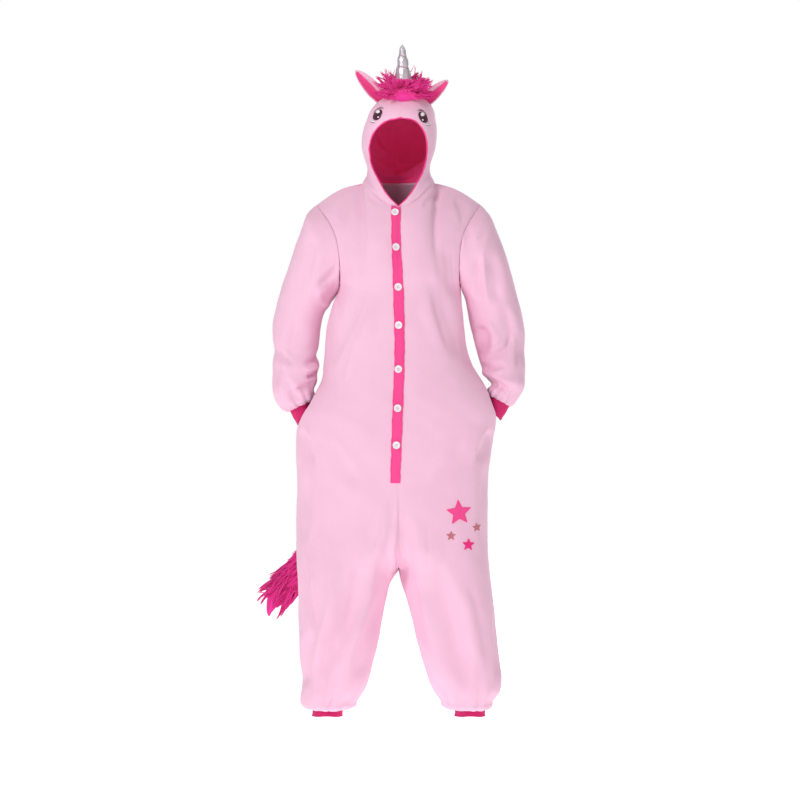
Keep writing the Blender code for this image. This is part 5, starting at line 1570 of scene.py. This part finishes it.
def build_stars():
    for name, (x, z, radius, tilt) in STARS.items():
        corners = []
        for k in range(10):
            turn = math.radians(90 + tilt + 36 * k)
            reach = radius if k % 2 == 0 else radius * STAR_WAIST
            corners.append((reach * math.cos(turn), reach * math.sin(turn)))
        edge = []
        for k, corner in enumerate(corners):
            after = corners[(k + 1) % 10]
            shares = np.linspace(0.0, 1.0, 9, endpoint=False)
            for share in shares[0 if k % 2 else 1 :]:
                edge.append(np.array(corner) * (1 - share) + np.array(after) * share)
        look = STAR_LOOKS[name]
        piece = mesh_object("felt_" + name, *flat_piece(front_left_skin, (x, z), edge, FELT), look)
        placed(piece, look, name)
        inset = 0.0022 if radius > 0.03 else 0.0014
        sewn = outline_stitches(front_left_skin, (x, z), edge, inset, LIFT + FELT * 0.95, STAR_STITCH)
        placed(mesh_object("stitches_" + name, *sewn, look), look)


build_stars()

# On each eye, from its middle as seen: the large and the small glint as x, z, half width, half
# height and slant, then the line of the white below, then each lash line after its half thickness
GLINTS = {
    "eye_right": ((0.0004, 0.0052, 0.0068, 0.0088, -14), (0.0012, -0.0072, 0.0025, 0.0030, -10)),
    "eye_left": ((-0.0010, 0.0052, 0.0064, 0.0084, 14), (-0.0008, -0.0076, 0.0024, 0.0030, 10)),
}
UNDER = {
    "eye_right": ((-0.0182, -0.0092), (-0.0180, -0.0150), (-0.0136, -0.0186), (-0.0076, -0.0182)),
    "eye_left": ((0.0084, -0.0186), (0.0142, -0.0196), (0.0186, -0.0166), (0.0190, -0.0104)),
}
LASHES = {
    "eye_right": (
        (0.00110, (-0.0128, 0.0040), (-0.0066, 0.0140), (0.0040, 0.0188), (0.0168, 0.0164)),
        (0.00060, (-0.0030, 0.0176), (0.0058, 0.0214), (0.0150, 0.0206)),
        (0.00080, (-0.0214, -0.0176), (-0.0160, -0.0212), (-0.0084, -0.0208)),
    ),
    "eye_left": (
        (0.00110, (-0.0160, 0.0160), (-0.0060, 0.0188), (0.0050, 0.0146), (0.0118, 0.0050)),
        (0.00060, (-0.0140, 0.0200), (-0.0050, 0.0214), (0.0040, 0.0176)),
        (0.00080, (0.0092, -0.0212), (0.0160, -0.0220), (0.0226, -0.0178)),
    ),
}


def oval(width, height, degrees, steps=44, point=0.0):
    lean = math.radians(degrees)
    edge = []
    for k in range(steps):
        turn = 2 * math.pi * k / steps
        a = width * math.cos(turn) * (1 - point * math.sin(turn))
        b = height * math.sin(turn)
        edge.append((a * math.cos(lean) - b * math.sin(lean), a * math.sin(lean) + b * math.cos(lean)))
    return edge


def line_on(skin, middle, places, radius, rise, steps=26):
    """A fine cord of thread that lies on the cloth, thin at its ends."""
    line = spline(np.array(places, float), np.linspace(0, len(places) - 1, steps))
    path = []
    for x, z in line:
        point, normal = skin.front(middle[0] + x, middle[1] + z)
        path.append(point + normal * rise)
    swell = np.sin(math.pi * np.linspace(0.04, 0.96, steps)) ** 0.6
    return tubes([path], [radius * (0.25 + 0.75 * swell)], 8, 0.8)


def build_eyes():
    for name, (x, z, width, height, slant) in EYES.items():
        middle = (x, z)
        edge = oval(width, height, slant, point=0.10)
        piece = mesh_object("sewn_" + name, *flat_piece(hood_skin, middle, edge, FELT, 0.0007), "eye_dark")
        placed(piece, "eye_dark", name)
        whites = []
        for glint in GLINTS[name]:
            at = (x + glint[0], z + glint[1])
            points, faces = flat_piece(hood_skin, at, oval(*glint[2:]), 0.0007, 0.0003)
            points[:, 1] -= FELT * 0.95
            whites.append((points, faces))
        whites.append(line_on(hood_skin, middle, UNDER[name], 0.0021, LIFT + 0.0006))
        placed(mesh_object("white_" + name, *joined(whites), "eye_white"), "button_white")
        lashes = []
        for radius, *places in LASHES[name]:
            lashes.append(line_on(hood_skin, middle, places, radius, LIFT + 0.0005))
        placed(mesh_object("lashes_" + name, *joined(lashes), "eye_dark"), "eye_dark")


build_eyes()


def onto(skin, point, lift):
    """A point that would be inside the cloth, moved onto it."""
    place, normal = skin.nearest(point)
    if (point - place).dot(normal) < lift:
        return place + normal * lift
    return point


EAR_NARROWER = 0.035  # how much smaller the inner piece is, at its sides and at its tip
EAR_SPAN = {"right": (-0.94, 0.30), "left": (-0.30, 0.94)}  # the part of the ear that it covers
EAR_REACH = (-0.22, 0.9)  # rows from below the root, in the hood, to near the tip
EAR_LEAST = 0.0012  # half width of the tip


def ear_points(side, inset, push, span):
    """The model's ear, finer, its root laid on the hood. span is the part across it."""
    root, tip, half, cup = EARS[side]
    root, tip = np.array(root), np.array(tip)
    axis = tip - root
    forward = np.array([0.0, -1.0, 0.0])
    forward -= axis * forward.dot(axis) / axis.dot(axis)
    forward /= np.linalg.norm(forward)
    across = np.cross(axis, forward)
    across /= np.linalg.norm(across)
    shares = np.concatenate([np.linspace(*EAR_REACH, 34), np.linspace(0.915, 1.0 - 1.6 * inset, 8)])
    rows = []
    for share in shares:
        wide = (half - inset * 0.08) * max(1.0 - max(share, 0.0) ** 2.6, 0.0) ** 0.62
        wide = max(wide * (0.80 + 0.20 * smooth(share / 0.35)), EAR_LEAST)
        row = []
        for step in np.linspace(span[0], span[1], 25):
            fold = cup * (1.15 * step * step - 0.15 * step**4) * (wide / half)
            wave = 0.0010 * math.sin(9 * share + 2 * step) * abs(step)
            point = root + axis * share + across * wide * step + forward * (fold + push + wave)
            row.append(onto(hood_skin, point, LIFT))
        rows.append(row)
    return np.array(rows)


def build_ears():
    for side in SIDES:
        lining_push = FLEECE / 2 + LIFT + 0.0008
        for layer, look, wall, top, inset, push, span in (
            ("outer", "fleece_pink", FLEECE, FLEECE / 2, 0.0, 0.0, (-1.0, 1.0)),
            ("inner", "fleece_hot_pink", LINING, LINING, EAR_NARROWER, lining_push, EAR_SPAN[side]),
        ):
            ear = Cloth(ear_points(side, inset, push, span), False, 0.0)
            faces_back = ear.out[..., 1].mean() > 0
            out = -ear.out if faces_back else ear.out
            shape = shell(ear.points, out, wall, False, ear.flip != faces_back, top)
            name = ("ear_back_" if layer == "outer" else "ear_front_") + side
            placed(mesh_object(name, *shape, look), look, f"ear_{side}_{layer}")


build_ears()

HORN_TILT = 0.0045  # the wraps run round the horn at a slant
HORN_WRAPS = (0.052, 0.0885, 0.1205)  # where the horn is drawn in at its ring steps; the rose tubes laid there are painted shade
WRAP_DEPTH = 0.0016
WRAP_WIDTH = 0.0024
# Radius of the rose tubes in the ring steps, which are painted shade
RING_SHADE_RADIUS = 0.0009
HORN_SIDES = 64
HORN_ROWS = 120
HORN_SEATED = 8  # rows at the base that are kept off the hood
PLEAT = 0.00035
CRUMPLED = 0.125  # the tip is uneven from this distance on


def horn_radius(along):
    return read(HORN, "radius", "along", along)


def pleats(angle, along):
    """The fine folds of the silver cloth."""
    wave = math.sin(15 * angle + 3 * math.sin(2 * angle) + 40 * along)
    return wave + 0.6 * math.sin(23 * angle - 90 * along)


def build_horn():
    axis = HORN_TIP - HORN_BASE
    turn = np.array(axis.to_track_quat("Z", "Y").to_matrix())
    scale = axis.length / HORN["along"][-1]
    steps = HORN_SIDES
    base = np.array(HORN_BASE)
    grid = np.empty((HORN_ROWS + 1, steps, 3))
    for i, share in enumerate(np.linspace(0.0, 1.0, HORN_ROWS + 1)):
        along = HORN["along"][-1] * (1 - (1 - share) ** 1.15)
        for k in range(steps):
            angle = 2 * math.pi * k / steps
            slanted = along + HORN_TILT * math.cos(angle - 0.6) * min(1.0, 8 * share * (1 - share))
            radius = max(horn_radius(slanted), 0.0)
            for_wraps = (((slanted - wrap) / WRAP_WIDTH) ** 2 for wrap in HORN_WRAPS)
            radius -= sum(WRAP_DEPTH * math.exp(-away) for away in for_wraps)
            radius = max(radius, 0.0)
            slope = abs(horn_radius(slanted + 0.003) - horn_radius(slanted - 0.003))
            pleat = pleats(angle, along)
            radius += PLEAT * pleat * min(1.0, 0.25 + slope / 0.0016) * min(1.0, radius / 0.008)
            if along > CRUMPLED:
                radius *= 1 + 0.10 * math.sin(3 * angle + 30 * along)
            if share == 1.0:
                radius = 0.0
            local = np.array([radius * math.cos(angle), radius * math.sin(angle), along * scale])
            grid[i, k] = base + turn @ local
    for i in range(HORN_SEATED):
        for k in range(steps):
            grid[i, k] = onto(hood_skin, grid[i, k], 0.0006)
    at = np.arange((HORN_ROWS + 1) * steps).reshape(HORN_ROWS + 1, steps)
    faces = ring_faces(at) + [tuple(at[0, ::-1].tolist())]
    horn = mesh_object("horn_cover", grid.reshape(-1, 3), faces, "horn_silver", 70.0)
    placed(horn, "horn_silver", "horn")
    # Rose tubes round the ring steps: painted shade in the horn's creases
    ring_shade_paths = []
    for wrap in HORN_WRAPS:
        path = []
        for k in range(steps + 1):
            angle = 2 * math.pi * k / steps
            along = wrap - HORN_TILT * math.cos(angle - 0.6)
            radius = horn_radius(wrap) - WRAP_DEPTH + RING_SHADE_RADIUS * 0.5
            local = np.array([radius * math.cos(angle), radius * math.sin(angle), along * scale])
            path.append(base + turn @ local)
        ring_shade_paths.append(path)
    shape = tubes(ring_shade_paths, np.full((len(ring_shade_paths), steps + 1), RING_SHADE_RADIUS), 8)
    placed(mesh_object("horn_bindings", *shape, "felt_rose"), "felt_rose")


build_horn()

BINDING = 0.0024  # radius of the lining's turned edge round the face
LINING_START = 0.2  # rows of the hood below the lining
FACE_TOP = 10.0  # the row at which the face opening closes


def build_lining():
    parts = []
    edges = {}
    for side in ("left", "right"):
        cloth = hoods[side]
        rows = places_of(len(HOOD["z"]), DOWN, high=False)
        start = int(np.searchsorted(rows, LINING_START))
        out = grid_normals(cloth.points, False) * (-1 if cloth.flip else 1)
        out[-1] = (0.0, 0.0, 1.0)
        points = (cloth.drawn_back() - out * (FLEECE + LIFT))[start:]
        parts.append(shell(points, out[start:], LINING, False, cloth.flip))
        line = cloth.points[:, 0] - out[:, 0] * (FLEECE * 0.75)
        edges[side] = line[1 : int(np.searchsorted(rows, FACE_TOP))]
    path = np.concatenate([edges["right"], edges["left"][-2::-1]])
    along = distances(path)
    wanted = np.linspace(0.0, along[-1], 150)
    path = points_at(path, along, wanted)
    swell = BINDING * (1.0 + 0.10 * np.sin(wanted * 260.0) + 0.08 * np.sin(wanted * 131.0 + 1.0))
    swell[[0, -1]] *= 0.4
    parts.append(tubes([path], [swell], 14, 0.85))
    placed(mesh_object("lining", *joined(parts), "fleece_hot_pink"), "fleece_hot_pink", "hood_lining")


build_lining()


WRIST_RIBS = 34
ANKLE_RIBS = 40
ARCH = 0.0045  # a cuff's lower edge is drawn up by this at front and back


def ribbed(name, middle, across, forward, down, half, length, ribs, flare, node):
    steps, rows = ribs * 8, 14
    grid = np.empty((rows + 1, steps, 3))
    for i, along in enumerate(np.linspace(0.0, 1.0, rows + 1)):
        for k in range(steps):
            turn = 2 * math.pi * k / steps
            rib = RIB * (abs(math.sin(ribs * turn / 2 + 0.25 * math.sin(5 * along))) ** 0.7)
            slack = 0.0010 * math.sin(3 * turn + 4 * along)
            slack += 0.0006 * math.sin(2 * math.pi * 2.2 * along + 2 * turn)
            grow = flare * along + rib + slack * along
            arch = ARCH * math.sin(turn) ** 2 * along + 0.0006 * math.sin(5 * turn) * along
            grid[i, k] = (middle + across * (half[0] + grow) * math.cos(turn)
                          + forward * (half[1] + grow) * math.sin(turn) + down * (length * along - arch))
    turns = np.linspace(0.0, 2 * math.pi, steps, endpoint=False)
    out = np.cos(turns)[:, None] * across + np.sin(turns)[:, None] * forward
    out = np.broadcast_to(out, grid.shape)
    flip = bool((grid_normals(grid, True) * out).sum() < 0)
    piece = mesh_object(name, *shell(grid, out, CUFF_WALL, True, flip), "rib_magenta", 40.0)
    placed(piece, "rib_magenta", node)


for side in SIDES:
    middle, outward, forward, down = wrist_frame(side)
    ribbed(
        "ribbed_wrist_" + side, middle - down * 0.004, outward, forward, down, WRIST_HALF, WRIST_LENGTH,
        WRIST_RIBS, 0.001, "wrist_cuff_" + side,
    )
    ribbed(
        "ribbed_ankle_" + side, np.array([ANKLE_X[side], 0.0, ANKLE_TOP]), np.array([1.0, 0.0, 0.0]),
        np.array([0.0, -1.0, 0.0]), np.array([0.0, 0.0, -1.0]), ANKLE_HALF, ANKLE_TOP - ANKLE_BOTTOM,
        ANKLE_RIBS, 0.0015, "ankle_cuff_" + side,
    )


def build_bag(side):
    """The pouch inside a pocket mouth, with slack folds."""
    pocket, sign = POCKETS[side], sign_of(side)
    middle_z = (pocket["top"] + pocket["bottom"]) / 2
    middle_y = (pocket["back"] - pocket["front"]) / 2
    outer = read(TORSO, side, "z", middle_z)
    rows = np.array(BAG + ((BAG[-1][0] + BAG_END, 0.0, 0.0, BAG[-1][3]),))
    fine = spline(rows, np.linspace(0, len(rows) - 1, 31))
    fine[-1, 1:3] = 0.0
    steps = 56
    grid = np.empty((len(fine), steps, 3))
    for i, (inward, height, depth, drop) in enumerate(fine):
        for k in range(steps):
            turn = 2 * math.pi * k / steps
            slack = 1 + 0.03 * math.sin(5 * turn + 40 * inward) * min(i / 5, 1.0)
            z = middle_z - drop + height * slack * math.cos(turn)
            at_seam = read(TORSO, side, "z", z)
            settle = smooth((inward - BAG[0][0]) / 0.012)
            x = at_seam * (1 - settle) + min(at_seam, outer) * settle
            y = middle_y + pocket["bag"] * depth * slack * math.sin(turn)
            grid[i, k] = (sign * (x - inward), y, z)
    cloth = Cloth(grid, True, 0.0)
    cloth.out[-1] = (-sign, 0.0, 0.0)
    shape = shell(cloth.points, cloth.out, LINING, True, cloth.flip)
    placed(mesh_object("bag_" + side, *shape, "fleece_pink"), "fleece_pink", "pocket_bag_" + side)


for side in SIDES:
    build_bag(side)


def build_underlap():
    levels = np.concatenate([np.arange(BAND["z"][0], BAND["z"][-1], -0.006), [BAND["z"][-1]]])
    places = []
    for z in levels:
        low = read(BAND, "high", "z", z) - UNDERLAP_WIDTH * 0.3
        places.append([(low + UNDERLAP_WIDTH * share, z) for share in np.linspace(0.0, 1.0, 8)])
    inner = -FLEECE - LIFT
    shape = patch(body_skin, np.array(places), inner - BAND_CLOTH, inner)
    placed(mesh_object("underlap", *shape, "fleece_hot_pink"), "fleece_hot_pink", "placket_underlap")


build_underlap()


# Fur of the mane and the tail: tufts of strands over a soft core

STRAND_TAPER = (1.0, 1.05, 1.0, 0.88, 0.70, 0.45, 0.10)
STRAND_ROWS = len(STRAND_TAPER)
FRONT_TOP = 0.300  # strands in front of the horn end below this level
CORE = 0.80  # the soft core's size, as a share of the fur's
ON_CLOTH = 0.0008  # fur stands this far off the cloth
HORN_CLEAR = 0.0195  # and this far off the horn's axis
EAR_CLEAR = 0.0035  # strands closer than this to an ear are left out
GOLDEN = 0.618034  # spreads the tufts evenly round


def fur_frame(columns, heads, across=None):
    """The middle line, its two side directions and its half width and depth, in fine steps."""
    rows = np.stack([columns[head] for head in heads], axis=1)
    fine = spline(rows, np.linspace(0, len(rows) - 1, 121))
    line, half = fine[:, :3], np.maximum(fine[:, 3:], 0.002)
    ahead = np.gradient(line, axis=0)
    ahead /= np.linalg.norm(ahead, axis=1, keepdims=True)
    side = np.broadcast_to(across, line.shape) if across is not None else np.cross(ahead, (0.0, 1.0, 0.0))
    side = side / np.linalg.norm(side, axis=1, keepdims=True)
    return line, half, side, np.cross(side, ahead), ahead


def fur_core(frame, share, sides=30):
    line, half, side, up, _ = [part[::3] for part in frame]
    turns = np.linspace(0, 2 * math.pi, sides, endpoint=False)
    lumps = 1 + 0.05 * np.sin(3 * turns + 0.9 * np.arange(len(line))[:, None])
    ring = side[:, None] * (np.cos(turns) * half[:, :1])[..., None]
    ring = ring + up[:, None] * (np.sin(turns) * half[:, 1:])[..., None]
    points = line[:, None] + ring * share * lumps[..., None]
    at = np.arange(points.shape[0] * sides).reshape(-1, sides)
    turned = np.roll(at, -1, axis=1)
    quads = np.stack([at[:-1], at[1:], turned[1:], turned[:-1]], axis=-1).reshape(-1, 4)
    faces = [tuple(face) for face in quads.tolist()]
    faces += [tuple(at[0].tolist()), tuple(at[-1, ::-1].tolist())]
    return points.reshape(-1, 3), faces


def tufts(frame, count, strands, arc, reach, spread, draw, seed, stop=1.0):
    """Paths of strands: each tuft's strands start apart and come together at its tip."""
    rng = np.random.default_rng(seed)
    line, half, side, up, ahead = frame
    shares = stop * (np.arange(count) + rng.uniform(0, 1, count)) / count
    turns = (arc[0] + (arc[1] - arc[0]) * ((np.arange(count) * GOLDEN) % 1.0)) * math.pi
    rows = np.linspace(0.0, 1.0, STRAND_ROWS)
    paths = []
    for share, turn in zip(shares, turns):
        at = share * (len(line) - 1)
        i = int(at)
        radial = side[i] * math.cos(turn) + up[i] * math.sin(turn)
        skin = line[i] + side[i] * half[i, 0] * math.cos(turn) + up[i] * half[i, 1] * math.sin(turn)
        lengthwise, outward = draw(share)
        long = reach * rng.uniform(0.72, 1.22) * min(1.0, 0.45 + half[i].mean() / 0.035)
        sway = rng.normal(0, 0.16, 3)
        heading = radial * outward + ahead[i] * lengthwise + sway
        heading /= np.linalg.norm(heading)
        tip = line[i] + (skin - line[i]) * 0.74 + heading * long
        for _ in range(strands):
            place = min(max(at + rng.normal(0, spread), 0), len(line) - 1)
            j = int(place)
            swing = turn + rng.normal(0, 0.22)
            out = side[j] * half[j, 0] * math.cos(swing) + up[j] * half[j, 1] * math.sin(swing)
            root = line[j] + 0.70 * out
            end = tip + rng.normal(0, 0.0022, 3)
            bow = root + (end - root) * 0.5 + radial * long * 0.16 + rng.normal(0, 0.0016, 3)
            paths.append([root * (1 - t) ** 2 + bow * 2 * t * (1 - t) + end * t * t for t in rows])
    return np.array(paths)


def strand_radii(number, thick, seed):
    rng = np.random.default_rng(seed)
    return thick * np.array(STRAND_TAPER) * rng.uniform(0.75, 1.25, (number, 1))


def clear_of_trims(paths):
    """Strands kept off the hood and round the horn; those that would cross an ear are left out."""
    ears = []
    for side in ("left", "right"):
        for part in ("ear_back_", "ear_front_"):
            mesh = bpy.data.objects[part + side].data
            corners, sides = [v.co for v in mesh.vertices], [p.vertices[:] for p in mesh.polygons]
            ears.append(BVHTree.FromPolygons(corners, sides))
    axis = np.array(HORN_TIP - HORN_BASE)
    axis /= np.linalg.norm(axis)
    base, kept = np.array(HORN_BASE), []
    for path in paths:
        if any(tree.find_nearest(Vector(point), EAR_CLEAR)[0] for point in path[1:] for tree in ears):
            continue
        front = path[0][1] < -0.035 and abs(path[0][0] - HORN_BASE.x) < 0.034
        if front and path[-1][2] > FRONT_TOP:
            shorter = max(FRONT_TOP - path[0][2], 0.004) / (path[-1][2] - path[0][2])
            path = path[0] + (path - path[0]) * min(1.0, shorter)
        for k, point in enumerate(path):
            point = onto(hood_skin, point, ON_CLOTH)
            out = point - base - axis * (point - base).dot(axis)
            away = np.linalg.norm(out)
            if away < HORN_CLEAR:
                point = point + out / max(away, 1e-6) * (HORN_CLEAR - away)
            path[k] = point
        kept.append(path)
    return np.array(kept)


def build_mane():
    columns = {**MANE, "x": np.full(len(MANE["y"]), MANE_X)}
    frame = fur_frame(columns, ("x", "y", "z", "width", "height"), (1.0, 0.0, 0.0))
    points, faces = fur_core(frame, CORE)
    base = np.array([onto(hood_skin, point, ON_CLOTH) for point in points])

    def draw(share):
        if share < 0.30:
            return -0.35 + share * 1.6, 1.0
        return 0.25 + 0.9 * share, 0.95 - 0.35 * share

    paths = np.concatenate([
        tufts(frame, 150, 14, (-0.04, 1.04), 0.036, 3.0, draw, 11),
        tufts(frame, 36, 9, (0.20, 0.80), 0.043, 2.0, draw, 12),
        tufts(frame, 34, 9, (0.0, 1.0), 0.026, 1.6, lambda share: (-1.0, 0.75), 14, 0.09),
    ])
    paths = clear_of_trims(paths)
    hair = tubes(paths, strand_radii(len(paths), 0.0013, 13), 5)
    mane = mesh_object("mane_fur", *joined([(base, faces), hair]), "fur_magenta", 80.0)
    placed(mane, "fur_magenta", "mane")


build_mane()

seat_skin = Skin([bodies["right", "back"], bodies["left", "back"]])


def build_tail():
    columns = {**TAIL, "depth": TAIL["radius"] * TAIL_FLAT}
    frame = fur_frame(columns, ("x", "y", "z", "radius", "depth"))
    points, faces = fur_core(frame, CORE)
    base = np.array([onto(seat_skin, point, ON_CLOTH) if point[1] < 0.22 else point for point in points])

    def draw(share):
        return 1.0, 0.42 - 0.22 * share

    paths = np.concatenate([
        tufts(frame, 170, 13, (0.0, 2.0), 0.056, 3.2, draw, 21, 0.79),
        tufts(frame, 40, 9, (0.0, 2.0), 0.066, 2.2, draw, 22, 0.77),
    ])
    for path in paths:
        for k, point in enumerate(path):
            if point[1] < 0.23:
                path[k] = onto(seat_skin, point, ON_CLOTH)
    hair = tubes(paths, strand_radii(len(paths), 0.0017, 23), 5)
    tail = mesh_object("tail_fur", *joined([(base, faces), hair]), "fur_magenta", 80.0)
    placed(tail, "fur_magenta", "tail")


build_tail()


# Floor, light and camera

FLOOR = -1.612
FLOOR_HALF = 9.0
FLOOR_GLOW = 0.80  # its own light, which makes it white to the camera
AMBIENT = 0.25
CAMERA_FAR = 6.0
CAMERA_X = 0.0043
FILM = 36.0  # width in millimetres, as the lens
LENS = 93.75


def studio():
    """A wide white floor. The world behind it is white as well, so no side of the suit is hidden."""
    points = [(x * FLOOR_HALF, y * FLOOR_HALF, FLOOR) for x, y in ((-1, -1), (1, -1), (1, 1), (-1, 1))]
    mesh = bpy.data.meshes.new("floor")
    mesh.from_pydata(points, [], [(0, 1, 2, 3)])
    material = bpy.data.materials.new("floor_white")
    material.use_nodes = True
    shader = material.node_tree.nodes["Principled BSDF"]
    shader.inputs["Base Color"].default_value = (0.92, 0.92, 0.92, 1.0)
    shader.inputs["Roughness"].default_value = 0.9
    shader.inputs["Specular IOR Level"].default_value = 0.1
    shader.inputs["Emission Color"].default_value = (1.0, 1.0, 1.0, 1.0)
    shader.inputs["Emission Strength"].default_value = FLOOR_GLOW
    mesh.materials.append(material)
    floor = bpy.data.objects.new("floor", mesh)
    bpy.context.scene.collection.objects.link(floor)


def lamp(name, place, aim, width, power):
    light = bpy.data.lights.new(name, "AREA")
    light.shape = "DISK"
    light.size = width
    light.energy = power
    made = bpy.data.objects.new(name, light)
    made.location = place
    made.rotation_euler = (Vector(aim) - Vector(place)).to_track_quat("-Z", "Y").to_euler()
    bpy.context.scene.collection.objects.link(made)


studio()
lamp("key", (-2.7, -3.7, 2.2), (0.0, 0.0, -0.55), 1.7, 104.0)
lamp("fill", (3.2, -4.2, 0.4), (0.0, 0.0, -0.65), 3.0, 23.0)
lamp("back", (1.8, 4.6, 1.6), (0.0, 0.0, -0.55), 2.6, 70.0)
lamp("top", (0.0, -0.6, 2.9), (0.0, 0.0, -0.4), 2.2, 20.0)

world = bpy.data.worlds.new("studio")
world.use_nodes = True
nodes, links = world.node_tree.nodes, world.node_tree.links
ambient = nodes["Background"]
ambient.inputs["Color"].default_value = (1.0, 1.0, 1.0, 1.0)
ambient.inputs["Strength"].default_value = AMBIENT
white = nodes.new("ShaderNodeBackground")
white.inputs["Color"].default_value = (1.0, 1.0, 1.0, 1.0)
white.inputs["Strength"].default_value = 1.0
behind = nodes.new("ShaderNodeMixShader")
links.new(nodes.new("ShaderNodeLightPath").outputs["Is Camera Ray"], behind.inputs["Fac"])
links.new(ambient.outputs["Background"], behind.inputs[1])
links.new(white.outputs["Background"], behind.inputs[2])
links.new(behind.outputs["Shader"], nodes["World Output"].inputs["Surface"])
scene = bpy.context.scene
scene.world = world
scene.view_settings.view_transform = "Standard"

camera_data = bpy.data.cameras.new("camera")
camera_data.lens = LENS
camera_data.sensor_width = FILM
camera = bpy.data.objects.new("camera", camera_data)
camera.location = (CAMERA_X, -CAMERA_FAR, SIGHT_LEVEL)
camera.rotation_euler = (math.pi / 2, 0.0, 0.0)
scene.collection.objects.link(camera)
scene.camera = camera
